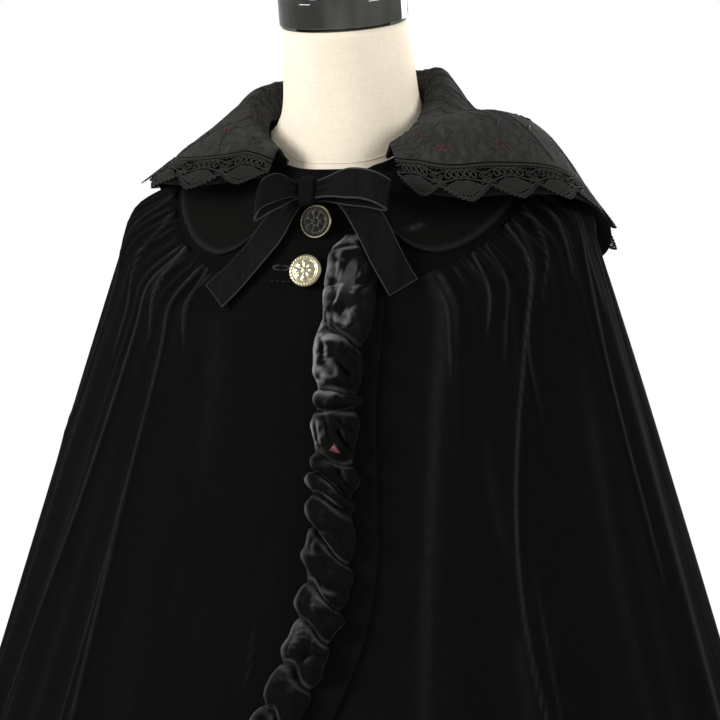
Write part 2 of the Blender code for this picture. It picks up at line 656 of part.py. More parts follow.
def cape():
    rows = len(BODY_FALLS) - 1
    yoke_rows = len(YOKE_FALLS) - 1
    cloth("front_right", "black_velvet", FRONT_COLUMNS, rows, VELVET, front_place(-1))
    cloth("front_left", "black_velvet", FRONT_COLUMNS, rows, VELVET, front_place(1))
    cloth("back", "black_velvet", BACK_COLUMNS, rows, VELVET, back_place)
    cloth("yoke_right", "black_velvet", 14, yoke_rows, VELVET, yoke_front_place(-1))
    cloth("yoke_left", "black_velvet", 16, yoke_rows, VELVET, yoke_front_place(1))
    cloth("yoke_back", "black_velvet", 24, yoke_rows, VELVET, yoke_back_place)
    cloth("collar_right", "black_velvet", LOBE_COLUMNS, 4, VELVET, lobe_place(-1))
    cloth("collar_left", "black_velvet", LOBE_COLUMNS, 4, VELVET, lobe_place(1))
    cloth("fall_under", "black_velvet", FALL_COLUMNS, FALL_ROWS + FALL_EDGE_ROWS, VELVET, fall_under_place)
    cloth("fall_upper", "embroidered_cloth", FALL_COLUMNS, FALL_ROWS, COLLAR_CLOTH, fall_upper_place)
    lace_columns = LACE_REPEATS * len(LACE_BOTTOM)
    cloth("lace_edging", "black_lace", lace_columns, len(LACE_LEVELS), LACE, lace_place, lace_gap)
    cloth("front_ruche", "black_velvet", 6, STRIP_ROWS, VELVET * 0.9, strip_place)


def bow():
    cloth("bow_loop_left", "velvet_ribbon", 14, 3, RIBBON, loop_place(1, 0.061, 0.018, 0.006))
    cloth("bow_loop_right", "velvet_ribbon", 14, 3, RIBBON, loop_place(-1, 0.028, 0.024, 0.004))
    cloth("bow_tail_left", "velvet_ribbon", 10, 3, RIBBON, tail_place(TAIL_LEFT, 1))
    cloth("bow_tail_right", "velvet_ribbon", 10, 3, RIBBON, tail_place(TAIL_RIGHT, 1))
    bow_knot()


# Dress form

def form_rings(angle):
    """Rings of the form from the bottom up to the neck."""
    rings = [ring_point(np.repeat(np.array([row], dtype=float), len(angle), 0), angle) for row in TRUNK]
    front = ease((np.cos(angle) - 0.35) / 0.4)
    sink = VELVET + FORM_GAP + (LAP + FORM_GAP) * front
    for fall in FORM_FALLS:
        falls = np.full(angle.shape, fall)
        rings.append(base_point(angle, falls) - base_normal(angle, falls) * sink[..., None])
    for radius, y, z, tilt in NECK_RINGS:
        reach = -radius * np.cos(angle)
        height = z + reach * math.tan(math.radians(tilt))
        rings.append(np.stack((radius * np.sin(angle), y + reach, height), -1))
    return rings


def form_torso():
    angle = np.linspace(0.0, 2 * math.pi, FORM_SIDES, endpoint=False)
    rings = form_rings(angle)
    bm = bmesh.new()
    levels = len(rings) + 1
    bmesh.ops.create_uvsphere(bm, u_segments=FORM_SIDES, v_segments=levels, radius=1.0)
    for vert in bm.verts:
        level = levels - round(math.acos(max(-1.0, min(1.0, vert.co.z))) / math.pi * levels)
        side = round(math.atan2(vert.co.x, -vert.co.y) / (2 * math.pi) * FORM_SIDES) % FORM_SIDES
        if level in (0, levels):
            vert.co = rings[0 if level == 0 else -1].mean(axis=0)
        else:
            vert.co = rings[level - 1][side]
    return keep("form_torso", bm, "linen")


def form_stand():
    radius, y, z, tilt = NECK_RINGS[-1]
    cap = turned("form_cap", "black_gloss", CAP_OUTLINE, 28)
    cap.location = (0.0, y, z)
    cap.rotation_euler = (math.radians(tilt), 0.0, 0.0)
    turned("form_base", "stand_metal", BASE_OUTLINE, 32)
    foot = BASE_OUTLINE[0][1] + SEAM
    top = TRUNK[0].z_front - SEAM
    bm = bmesh.new()
    made = bmesh.ops.create_cone(bm, cap_ends=True, segments=20, radius1=POLE_RADIUS, radius2=POLE_RADIUS,
                                 depth=top - foot)
    bmesh.ops.translate(bm, verts=made["verts"], vec=(0.0, POLE_Y, (top + foot) / 2))
    keep("form_pole", bm, "stand_metal")


for old in list(bpy.data.objects):
    bpy.data.objects.remove(old, do_unlink=True)
PARTS = bpy.data.collections.new("Cape on a dress form")
bpy.context.scene.collection.children.link(PARTS)
cape()
bow()
for button_row in BUTTONS:
    button(button_row)
form_torso()
form_stand()
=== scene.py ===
"""Looks of the velvet cape on its dress form: velvet, lace, embroidery, ribbon, buttons and linen.

Cloth is placed as in the part's source, by an angle (0 at the centre front, + to the wearer's left) and a
fall in metres along the cloth (negative on the yoke, 0 at the yoke seam, positive on the gathered body).
"""
import math
from collections import namedtuple

import bpy
import numpy as np
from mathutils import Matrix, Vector


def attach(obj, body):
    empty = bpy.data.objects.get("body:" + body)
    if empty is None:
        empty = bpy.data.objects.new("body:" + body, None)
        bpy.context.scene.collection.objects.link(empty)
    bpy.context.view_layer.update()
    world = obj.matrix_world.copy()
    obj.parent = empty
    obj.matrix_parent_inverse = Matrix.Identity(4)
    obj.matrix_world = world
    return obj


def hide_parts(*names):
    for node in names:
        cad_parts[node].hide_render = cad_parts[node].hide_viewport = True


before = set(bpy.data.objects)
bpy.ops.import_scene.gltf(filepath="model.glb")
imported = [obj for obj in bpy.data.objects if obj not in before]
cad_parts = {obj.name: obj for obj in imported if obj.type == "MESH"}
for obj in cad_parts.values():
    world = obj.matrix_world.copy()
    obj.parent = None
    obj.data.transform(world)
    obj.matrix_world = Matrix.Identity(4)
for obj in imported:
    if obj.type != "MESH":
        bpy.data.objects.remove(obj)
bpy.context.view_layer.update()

# Camera at the photo's angle
VIEW_ANGLE = math.radians(16.0)
VIEW_DISTANCE = 2.40
VIEW_HEIGHT = 1.2045
VIEW_ASIDE = 0.003
LENS = 149.0
FLOOR_RADIUS = 9.0

# Studio lamps: place, size in metres and watts
LAMPS = (
    ("Key lamp", (-2.0, -1.5, 2.0), 1.0, 66.0), ("Side lamp", (2.1, -0.7, 1.9), 0.9, 30.0),
    ("Back lamp", (0.9, 2.3, 2.0), 1.4, 52.0),
)
SOFT_LIGHT = 0.52
LAMP_AIM = (0.0, -0.1, 1.2)

# Walls and gaps
VELVET = 0.0020
COLLAR_CLOTH = 0.0016
RIBBON = 0.0015
SEAM = 0.0003
SEAM_LAP = 0.0006
LAP = 0.0034
EDGE_ROUND = 0.0022
EDGE_TURN = 0.42
LINING_TOP = 0.97

# Step over which slopes are measured
SMALL = 1e-4

# Grid of each cloth: columns, rows, and the width and length in metres
Grid = namedtuple("Grid", "columns rows size")
FRONT_GRID = Grid(400, 56, (0.45, 0.70))
BACK_GRID = Grid(300, 54, (1.0, 0.70))
YOKE_GRID = Grid(70, 36, (0.20, 0.095))
BACK_YOKE_GRID = Grid(110, 36, (0.40, 0.12))
FLAT_GRID = Grid(150, 24, (0.36, 0.07))
UNDER_GRID = Grid(200, 40, (0.90, 0.15))
UPPER_GRID = Grid(300, 60, (0.90, 0.12))
PEEK_GRID = Grid(8, 8, (0.0092, 0.0060))
BODY_CROWD = 1.5

# Garment lengths along the cloth
NECK_FALL = -0.095
HEM_FALL = 0.700
NECK_CENTRE_Y = -0.012

# One row for each ring of the garment
Ring = namedtuple("Ring", "fall half_width front back middle z_front z_side z_back")
RINGS = (
    Ring(-0.095, 0.066, 0.063, 0.066, -0.012, 1.354, 1.396, 1.412),
    Ring(-0.048, 0.107, 0.093, 0.097, -0.003, 1.313, 1.374, 1.362),
    Ring(0.000, 0.150, 0.117, 0.119, 0.006, 1.262, 1.351, 1.292),
    Ring(0.035, 0.186, 0.124, 0.130, 0.008, 1.232, 1.331, 1.262),
    Ring(0.070, 0.1975, 0.132, 0.139, 0.010, 1.200, 1.298, 1.229),
    Ring(0.140, 0.220, 0.150, 0.158, 0.011, 1.138, 1.226, 1.162),
    Ring(0.280, 0.264, 0.183, 0.194, 0.012, 1.015, 1.078, 1.027),
    Ring(0.420, 0.308, 0.215, 0.228, 0.012, 0.892, 0.930, 0.892),
    Ring(0.560, 0.353, 0.246, 0.262, 0.012, 0.768, 0.781, 0.757),
    Ring(0.700, 0.398, 0.276, 0.295, 0.012, 0.645, 0.632, 0.622),
)
SIDE_SOFTNESS = 0.20
SIDE_POWER = 1.4
SWAY = -0.0035
SWAY_START = 0.05

# One row for each large fold of the body, angles in degrees at the yoke seam and at the hem
Fold = namedtuple("Fold", "top hem spread height")
FOLDS = (
    Fold(-174, -174, 4.4, 0.016), Fold(-161, -162, 4.0, 0.014), Fold(-148, -148, 4.4, 0.017),
    Fold(-134, -135, 4.4, 0.016), Fold(-120, -121, 4.4, 0.015), Fold(-106, -107, 4.4, 0.017),
    Fold(-92, -94, 4.4, 0.017), Fold(-79, -81, 4.0, 0.014), Fold(-66, -69, 4.2, 0.016),
    Fold(-53, -56, 3.8, 0.015), Fold(-46, -46, 3.2, 0.009), Fold(-40, -36, 3.4, 0.012),
    Fold(-28, -24, 4.0, 0.006), Fold(38, 16, 4.4, 0.011), Fold(50, 32, 4.2, 0.010),
    Fold(60, 46, 4.2, 0.015), Fold(70, 59, 4.2, 0.014), Fold(82, 72, 4.2, 0.016),
    Fold(95, 86, 4.4, 0.015), Fold(108, 101, 4.4, 0.017), Fold(121, 116, 4.4, 0.015),
    Fold(135, 131, 4.4, 0.016), Fold(148, 146, 4.4, 0.015), Fold(161, 160, 4.0, 0.014),
    Fold(173, 172, 4.0, 0.016),
)
FOLD_SINK = 0.006
FOLD_START = 0.050
FOLD_GROWTH = 0.9

# Small gathers where the body meets the yoke
SMOOTH_ANGLE = 35.0
FRONT_GATHERS = 12
BACK_GATHERS = 32
GATHER_HEIGHT = 0.0034
GATHER_SHARPNESS = 0.24
GATHER_SHORT = 0.035
GATHER_LONG = 0.16
FINE_GATHERS = 2.6
FINE_HEIGHT = 0.0007
FINE_WIDTH = 0.20
FINE_SHORT = 0.010
FINE_LONG = 0.055
SEAM_TURN = 0.006
# Strength of the painted sheen on the gathers' crests and on the fine lines between them
GATHER_PAINTED_SHEEN = 0.4
FINE_PAINTED_SHEEN = 0.35
GATHERED_SHARE = 0.62

# Creases of the body: falls where they begin and end, angles at the start, a hand below it and the end,
# half width and height in metres, and how bright the painted sheen is along them
Crease = namedtuple("Crease", "top low start near end width height shine")
CREASES = (
    Crease(0.000, 0.70, -53, -52, -68, 0.0030, 0.0026, 0.58),
    Crease(0.000, 0.70, -42, -40, -42, 0.0028, 0.0022, 0.40),
    Crease(0.150, 0.70, -39, -38, -34, 0.0030, 0.0024, 0.54),
    Crease(0.000, 0.07, -40, -36, -33, 0.0026, 0.0020, 0.50),
    Crease(0.000, 0.08, -53, -49, -45, 0.0030, 0.0022, 0.60),
    Crease(0.000, 0.12, -70, -60, -60, 0.0030, 0.0024, 0.45),
    Crease(0.000, 0.24, -78, -72, -82, 0.0030, 0.0024, 0.40),
    Crease(0.020, 0.20, -25, -22, -21, 0.0080, 0.0008, 0.06),
    Crease(0.290, 0.35, -6, -6, -6, 0.0020, 0.0006, 0.35),
    Crease(0.000, 0.70, 63, 50, 48, 0.0030, 0.0028, 0.62),
    Crease(0.000, 0.16, 66, 53, 52, 0.0026, 0.0018, 0.30),
    Crease(0.000, 0.07, 72, 65, 58, 0.0028, 0.0020, 0.45),
    Crease(0.000, 0.08, 77, 72, 72, 0.0030, 0.0022, 0.50),
    Crease(0.010, 0.34, 82, 76, 73, 0.0032, 0.0026, 0.65),
    Crease(0.030, 0.12, 82, 80, 80, 0.0028, 0.0018, 0.40),
    Crease(0.000, 0.07, 49, 45, 42, 0.0024, 0.0018, 0.60),
    Crease(0.000, 0.10, 54, 49, 45, 0.0024, 0.0016, 0.30),
    Crease(0.000, 0.70, 34, 29, 17, 0.0052, 0.0016, 0.20),
    Crease(0.010, 0.10, 34, 33, 32, 0.0028, 0.0012, 0.40),
    Crease(0.100, 0.60, 67, 63, 58, 0.0070, 0.0016, 0.16),
    Crease(0.300, 0.44, 38, 38, 40, 0.0040, 0.0012, 0.16),
    Crease(0.260, 0.48, 43, 43, 43, 0.0024, 0.0016, 0.40),
    Crease(0.140, 0.26, 38, 38, 39, 0.0040, 0.0010, 0.10),
    Crease(0.220, 0.60, 87, 86, 81, 0.0110, 0.0016, 0.12),
)
HAND = 0.10
BROAD = 0.0035
CRISP = 0.42
SHINE_FADE = 0.5
SHINE_END = 0.4
BACK_CREASES = 26
BACK_FIRST = 96.0
BACK_SPAN = 168.0

# Front edge of the lap and the centre line of the gathered strip, x at each fall
Edge = namedtuple("Edge", "fall strip lap")
EDGES = (
    Edge(-0.095, 0.010, 0.022), Edge(-0.045, 0.026, 0.050), Edge(0.000, 0.024, 0.053),
    Edge(0.100, 0.0215, 0.0515), Edge(0.175, 0.024, 0.057), Edge(0.245, 0.025, 0.061),
    Edge(0.290, 0.0185, 0.0575), Edge(0.350, 0.001, 0.042), Edge(0.400, -0.019, 0.022),
    Edge(0.490, -0.050, -0.010), Edge(0.595, -0.080, -0.042), Edge(0.700, -0.100, -0.064),
)
UNDERLAP = 0.060
BODY_UNDERLAP = 0.030
LAP_START = 13.0
LAP_BLEND = 9.0

# Outer edge of the flat collar, angle in degrees from the centre front
Lobe = namedtuple("Lobe", "angle fall")
LOBES = (
    Lobe(7, -0.0815), Lobe(13, -0.070), Lobe(19, -0.056), Lobe(25, -0.041), Lobe(31, -0.024),
    Lobe(38, -0.0125), Lobe(46, -0.008), Lobe(60, -0.006), Lobe(90, -0.006), Lobe(140, -0.007),
    Lobe(180, -0.009),
)
LOBE_NECK_FALL = -0.083
LOBE_OUT = 2 * SEAM + VELVET
BACK_GAP = 0.12

# Spacing of the grid lines round the front of the yoke and the flat collar, closer at the shoulder
CROWDING = (0.55, 0.45)

# Painted sheen line along the flat collar's edge, and a painted sheen spot on its left half in degrees and
# fall
RIM_PAINTED_SHEEN = 0.30
RIM_AT = 0.03
RIM_WIDTH = 0.018
SPOT_PAINTED_SHEEN = 0.8
SPOT_PLACE = (36.0, -0.033)
SPOT_SIZE = (3.0, 0.0014)

# Sections of the wide falling collar, angles run from the wearer's left round the back to the right,
# with the sag between the roll and the crest
Fall = namedtuple("Fall", "angle roll_r roll_z sag crest_r crest_z edge_r edge_z")
FALLS = (
    Fall(40, 0.0695, 1.371, -0.001, 0.081, 1.364, 0.0925, 1.3425),
    Fall(45, 0.070, 1.3755, -0.001, 0.087, 1.373, 0.112, 1.334),
    Fall(50, 0.070, 1.380, -0.001, 0.092, 1.381, 0.130, 1.330),
    Fall(65, 0.067, 1.392, 0.001, 0.108, 1.394, 0.160, 1.332),
    Fall(80, 0.063, 1.406, 0.004, 0.125, 1.398, 0.186, 1.332),
    Fall(95, 0.061, 1.421, 0.008, 0.134, 1.3955, 0.202, 1.321),
    Fall(115, 0.061, 1.436, 0.010, 0.128, 1.392, 0.210, 1.293),
    Fall(140, 0.064, 1.439, 0.004, 0.116, 1.394, 0.195, 1.275),
    Fall(180, 0.070, 1.438, -0.003, 0.114, 1.392, 0.172, 1.266),
    Fall(220, 0.074, 1.436, -0.003, 0.114, 1.392, 0.190, 1.280),
    Fall(245, 0.076, 1.430, -0.003, 0.112, 1.398, 0.187, 1.320),
    Fall(265, 0.076, 1.420, -0.002, 0.108, 1.399, 0.172, 1.349),
    Fall(280, 0.076, 1.406, -0.001, 0.105, 1.394, 0.165, 1.350),
    Fall(295, 0.075, 1.393, -0.001, 0.099, 1.388, 0.151, 1.345),
    Fall(310, 0.073, 1.382, -0.001, 0.097, 1.375, 0.122, 1.3425),
    Fall(318, 0.072, 1.3755, -0.001, 0.088, 1.3695, 0.101, 1.346),
    Fall(326, 0.071, 1.369, -0.001, 0.079, 1.364, 0.0875, 1.3475),
)
FIRST_FALL = math.radians(FALLS[0].angle)
LAST_FALL = math.radians(FALLS[-1].angle)
ROLL_RADIUS = 0.008
FALL_ROWS = 6
FALL_EDGE_ROWS = 2
FALL_COLUMNS = 36
LACE_DEPTH = 0.034
LACE_HANG = 0.18
LACE_SHARE = 0.70
LACE_OUT = 0.0013
WRINKLE_HEIGHT = 0.0008
# Painted sheen along the under collar's edge: its strength and width
UNDER_PAINTED_SHEEN = 0.15
UNDER_PAINTED_SHEEN_WIDTH = 0.012

# Embroidery: shares of the collar's edge and depth, and sizes in metres
STEMS = 22
STEM_SWAY = 0.011
STEM_WAVE = 5.6
STEM_FOOT = 0.02
STEM_LENGTH = 0.80
STEM_RADIUS = 0.0006
LEAVES = 12
LEAF_SWELL = 0.0014
LEAF_WIDE = 0.0125
LEAF_WIDER = 0.004
LEAF_TALL = 0.055
BERRIES = 7
BERRY_APART = 0.0046
BERRY_RADIUS = 0.00105
BERRY_THREAD = 0.00055
COLLAR_SPAN = (0.72, 0.20)
RED_CLUSTERS = (
    (0.040, 0.28), (0.054, 0.10), (0.110, 0.06), (0.205, 0.24), (0.300, 0.10), (0.400, 0.24), (0.500, 0.09),
    (0.600, 0.25), (0.700, 0.10), (0.800, 0.22), (0.893, 0.58), (0.912, 0.30),
)

# Lace: its repeats and their grid, and depths of the fans as shares of the lace's depth
LACE_REPEATS = 24
LACE_COLUMNS = 24
LACE_ROWS = 36
LACE_END = 1.08
FAN_VALLEY = 0.50
FAN_TOP = 0.40
FAN_INNER = 0.80
FAN_LOW = 0.905
PLATE = 0.00032

# Sewing: the buttonhole beside the lower button, and the hand stitches on the yoke seam
SLIT_PLACE = (-0.0300, -0.0130)
SLIT_HALF = (0.0062, 0.0009)
SLIT_STITCHES = 56
SLIT_STITCH = 0.0013
SLIT_THREAD = 0.00032
YOKE_STITCHES = 9
YOKE_STITCH = 0.0026
YOKE_STITCH_FALL = -0.0030
YOKE_THREAD = 0.00022
THREAD_OUT = 0.0002

# Gathered strip, with the falls of the drawn threads between its puffs at its two sides
Draw = namedtuple("Draw", "body_side lap_side")
DRAWS = (
    Draw(-0.036, -0.036), Draw(-0.018, -0.017), Draw(0.004, 0.011), Draw(0.035, 0.056), Draw(0.091, 0.096),
    Draw(0.107, 0.106), Draw(0.144, 0.157), Draw(0.160, 0.186), Draw(0.180, 0.198), Draw(0.209, 0.242),
    Draw(0.252, 0.278), Draw(0.285, 0.306), Draw(0.324, 0.344), Draw(0.360, 0.383), Draw(0.398, 0.420),
    Draw(0.440, 0.457), Draw(0.478, 0.503), Draw(0.520, 0.541), Draw(0.556, 0.580), Draw(0.598, 0.619),
    Draw(0.640, 0.662), Draw(0.694, 0.694),
)
STRIP_HALF = 0.0190
PUFF_STEP = 0.0013
STRIP_COLUMNS = 50
STRIP_SIZE = (0.045, 0.73)
STRIP_WALL = 0.9 * VELVET
STRIP_TOP = DRAWS[0].body_side
FLAT_TO = 0.062
FLAT_FADE = 0.05
TOP_ASIDE = 0.0035
PUFF_LOW = 0.0020
PUFF_HIGH = 0.0058
PUFF_TALL = 0.040
PUFF_SAG = 0.0026
DRAW_BEND = 0.010
FRILL = 0.0060
FRILL_LENGTH = 0.013
# Painted highlight: extra on the puff at this fall, and how far it spreads
BRIGHT_PUFF = 0.6
BRIGHT_FALL = 0.072
BRIGHT_SPREAD = 0.022
Puffs = namedtuple("Puffs", "across level fall part number puff tall flat_top")

# Crumpled folds within the puffs: lean from the strip's length, and length, spacing and height in metres
Crumple = namedtuple("Crumple", "lean length spacing height")
CRUMPLES = (
    Crumple(48.0, 0.034, 0.0105, 0.0110), Crumple(30.0, 0.022, 0.0060, 0.0048),
    Crumple(75.0, 0.014, 0.0040, 0.0016),
)
TOP_CRUMPLES = (Crumple(-35.0, 0.016, 0.0065, 0.0062), Crumple(70.0, 0.012, 0.0045, 0.0030))
CRUMPLE_WANDER = 0.013
# Weights across and down for the painted highlight on slopes that face the lamp
LIGHT_SIDE = (0.80, 0.50)
PEEK_PLACE = (0.58, 0.1425)
PEEK_TAPER = 0.92
PEEK_OUT = 0.0007
PEEK_WALL = 0.0006

# Bow: its knot and axes, and the ribbon's loops and tails
KNOT = np.array((-0.011, -0.0965, 1.3355))
KNOT_SIZE = (0.0085, 0.0065, 0.0120)
BOW_UP = np.array((0.0, 0.36, 0.933))
BOW_OUT = np.array((0.0, -0.933, 0.36))
ASIDE = np.array((1.0, 0.0, 0.0))
RIBBON_WIDTH = 0.0250
LOOP_STAND = 0.016
LOOP_START = 0.0078
LOOP_NECK = 0.013
LOOP_PLEAT = 0.0011
TAIL_NECK = 0.014
TAIL_PLEAT = 0.0008
TAIL_RIPPLE = 0.0010
TAIL_CLOTH = 0.10
PLEATS = 2.5
RIBBON_COLUMNS = 110
RIBBON_ROWS = 22
EDGE_STEPS = 140
EDGE_INSET = 0.012
EDGE_RADIUS = 0.00078
Loop = namedtuple("Loop", "name node side length droop rise cloth")
LOOPS = (
    Loop("ribbon_loop_left", "bow_loop_left", 1, 0.061, 0.018, 0.006, 0.14),
    Loop("ribbon_loop_right", "bow_loop_right", -1, 0.028, 0.024, 0.004, 0.10),
)
Path = namedtuple("Path", "key reach lift")
LOOP_PATH = (
    Path(0.00, 0.00, -0.0030), Path(0.22, 0.45, -0.0045), Path(0.42, 0.90, -0.0035),
    Path(0.50, 1.00, 0.0015), Path(0.58, 0.90, 0.0065), Path(0.78, 0.45, 0.0080), Path(1.00, 0.00, 0.0025),
)
Tail = namedtuple("Tail", "key x fall out")
TAIL_LEFT = (
    Tail(0.0, 0.010, -0.069, 0.0040), Tail(0.33, 0.033, -0.047, 0.0092),
    Tail(0.67, 0.0535, -0.013, 0.0116), Tail(1.0, 0.067, 0.009, 0.0070),
)
TAIL_RIGHT = (
    Tail(0.0, -0.0135, -0.068, 0.0080), Tail(0.12, -0.0245, -0.0565, 0.0072),
    Tail(0.41, -0.043, -0.031, 0.0060), Tail(0.71, -0.066, -0.003, 0.0062), Tail(1.0, -0.084, 0.019, 0.0072),
)

# Buttons: place on the cloth, and the turned outline from the top centre to the shank
Button = namedtuple("Button", "node x fall tip turn")
BUTTONS = (
    Button("button_upper", -0.002, -0.0455, 16.0, -8.0),
    Button("button_lower", -0.008, -0.0100, 0.0, 0.0),
)
SHANK_RADIUS = 0.0036
BUTTON_OUTLINE = (
    (0.0, 0.0068), (0.0050, 0.0066), (0.0095, 0.0060), (0.0108, 0.0064), (0.0125, 0.0060), (0.0130, 0.0050),
    (0.0120, 0.0042), (0.0040, 0.0036), (SHANK_RADIUS, -0.0003), (0.0, -0.0003),
)

# Relief on a button's face, in metres
Relief = namedtuple("Relief", "height radius spread")
PETALS = Relief(0.0009, 0.0058, 0.0021)
BEADS = Relief(0.0007, 0.0112, 0.0008)
FACE_RING = Relief(0.0004, 0.0092, 0.0004)
BOSS_HEIGHT = 0.0010
BOSS_RADIUS = 0.0017
FACE_FROM = 0.0055
FACE_RADIUS = 0.0118
BUTTON_SIDES = 120
BUTTON_STEP = 0.0003

# Dress form
Trunk = namedtuple("Trunk", "half_width front back middle z_front z_side z_back")
TRUNK = (
    Trunk(0.135, 0.092, 0.100, 0.004, 0.700, 0.700, 0.700),
    Trunk(0.153, 0.106, 0.114, 0.004, 0.716, 0.716, 0.716),
    Trunk(0.160, 0.111, 0.121, 0.004, 0.830, 0.830, 0.830),
    Trunk(0.140, 0.103, 0.107, 0.003, 0.930, 0.930, 0.930),
    Trunk(0.117, 0.088, 0.085, 0.000, 1.020, 1.020, 1.020),
    Trunk(0.138, 0.112, 0.098, 0.000, 1.095, 1.095, 1.095),
    Trunk(0.160, 0.122, 0.112, 0.003, 1.165, 1.205, 1.165),
    Trunk(0.171, 0.118, 0.120, 0.006, 1.205, 1.275, 1.225),
)
FORM_FALLS = (0.038, 0.015, -0.020, -0.060, -0.095)
FORM_GAP = 0.0019
NECK_RINGS = ((0.0575, -0.009, 1.4035, 4.0), (0.0525, -0.021, 1.437, 10.0), (0.0485, -0.035, 1.472, 15.0))
CAP_OUTLINE = (
    (0.0, 0.0345), (0.0405, 0.0345), (0.0430, 0.0325), (0.0430, 0.0270), (0.0490, 0.0255),
    (0.0512, 0.0225), (0.0512, 0.0030), (0.0495, 0.0003), (0.0, 0.0003),
)
BASE_OUTLINE = (
    (0.0, 0.0150), (0.1500, 0.0150), (0.1880, 0.0105), (0.1920, 0.0070), (0.1920, 0.0), (0.0, 0.0),
)
POLE_RADIUS = 0.0140
POLE_Y = 0.004
POLE_SIDES = 48
ROUND_SIDES = 96
TORSO_SIDES = 112
TORSO_ROWS = 150
NECK_SEAM = 0.0003


# Curves and surfaces

def hermite(t, width, low, high, low_slope, high_slope):
    """Smooth curve between two values with given slopes, t from 0 to 1."""
    first = (1 + 2 * t) * (1 - t) ** 2 * low + t * (1 - t) ** 2 * width * low_slope
    last = t * t * (3 - 2 * t) * high + t * t * (t - 1) * width * high_slope
    return first + last


def along(rows, key):
    """Smooth values of every column of a table at each key, the first column being the key."""
    table = np.array(rows, dtype=float)
    keys = table[:, 0]
    slopes = np.gradient(table[:, 1:], keys, axis=0)
    cell = np.clip(np.searchsorted(keys, key) - 1, 0, len(keys) - 2)
    width = (keys[cell + 1] - keys[cell])[..., None]
    t = (np.asarray(key) - keys[cell])[..., None] / width
    return hermite(t, width, table[cell, 1:], table[cell + 1, 1:], slopes[cell], slopes[cell + 1])


def through(values, keys, step):
    """Smooth curve through values at rising keys, each key with its own column."""
    gaps = np.diff(keys, axis=0)
    rises = np.diff(values, axis=0) / gaps
    middle = (rises[1:] * gaps[:-1] + rises[:-1] * gaps[1:]) / (gaps[:-1] + gaps[1:])
    slopes = np.concatenate((rises[:1], middle, rises[-1:]))
    result = values[0]
    for i in range(len(gaps)):
        t = (step - keys[i]) / gaps[i]
        curve = hermite(t, gaps[i], values[i], values[i + 1], slopes[i], slopes[i + 1])
        result = np.where((t >= 0) | (i == 0), curve, result)
    return result


def between(first, last, share):
    """Value at a share of the way from the first to the last."""
    return first + (last - first) * share


def bell(value, centre, width):
    """Soft hump of height 1 at the centre."""
    return np.exp(-((value - centre) / width) ** 2)


def full_turn(sides):
    """Angles of a number of even steps round a circle."""
    return 2 * math.pi * np.arange(sides) / sides


def unit(vector):
    return vector / np.maximum(np.linalg.norm(vector, axis=-1, keepdims=True), 1e-12)


def ease(value):
    value = np.clip(value, 0.0, 1.0)
    return value * value * (3 - 2 * value)


def uneven(index, salt):
    """A steady value from 0 to 1 for each whole number."""
    return np.abs(np.sin(np.asarray(index) * 12.9898 + salt * 78.233) * 43758.5453) % 1.0


def ring_point(values, angle):
    """Point of a saddle-shaped ring, angle in radians."""
    half_width, front, back, middle, z_front, z_side, z_back = np.moveaxis(values, -1, 0)
    facing = np.cos(angle)
    soft = np.sqrt(facing ** 2 + SIDE_SOFTNESS ** 2) - SIDE_SOFTNESS
    soft = np.clip(soft / (math.sqrt(1 + SIDE_SOFTNESS ** 2) - SIDE_SOFTNESS), 0.0, 1.0)
    lift = 1 - (1 - soft) ** SIDE_POWER
    x = half_width * np.sin(angle)
    y = middle - np.where(facing > 0, front, back) * facing
    z = z_side + (np.where(facing > 0, z_front, z_back) - z_side) * lift
    return np.stack((x, y, z), -1)


def sway(fall):
    """How far the body hangs to the wearer's right."""
    return SWAY * ease(np.asarray(fall) / SWAY_START)


def base_point(angle, fall):
    point = ring_point(along(RINGS, fall), angle)
    point[..., 0] += sway(fall)
    return point


def base_normal(angle, fall):
    across = base_point(angle + SMALL, fall) - base_point(angle - SMALL, fall)
    down = base_point(angle, fall + SMALL) - base_point(angle, fall - SMALL)
    return unit(np.cross(down, across))


def over_base(angle, fall, out):
    """Point at a distance out from the plain rings, and the outward direction there."""
    outward = base_normal(angle, fall)
    return base_point(angle, fall) + outward * np.asarray(out)[..., None], outward


def half_width(fall):
    return along(RINGS, fall)[..., 0]


def edge_x(fall, column):
    return along(EDGES, fall)[..., column]


def angle_at(x, fall):
    return np.arcsin(np.clip((x - sway(fall)) / half_width(fall), -0.99, 0.99))


def turn_from(degrees, centre):
    """Difference of two angles, within half a turn."""
    return (degrees - centre + 180.0) % 360.0 - 180.0


def drift(degrees, fall):
    """Angle in radians, at a fall, of the line that starts at an angle on the yoke seam."""
    tops = [-180.0] + [fold.top for fold in FOLDS] + [180.0]
    moves = [0.0] + [fold.hem - fold.top for fold in FOLDS] + [0.0]
    moved = degrees + np.interp(turn_from(degrees, 0.0), tops, moves) * np.clip(fall / HEM_FALL, 0.0, 1.0)
    return np.radians(moved)


def fold_height(angle, fall):
    """Height of the large folds over the plain ring."""
    grow = np.clip((fall - FOLD_START) / (HEM_FALL - FOLD_START), 0.0, None) ** FOLD_GROWTH
    total = np.full(np.broadcast(angle, fall).shape, -FOLD_SINK)
    for fold in FOLDS:
        away = turn_from(np.degrees(angle), fold.top + (fold.hem - fold.top) * fall / HEM_FALL)
        total = total + fold.height * bell(away, 0.0, fold.spread)
    return total * grow


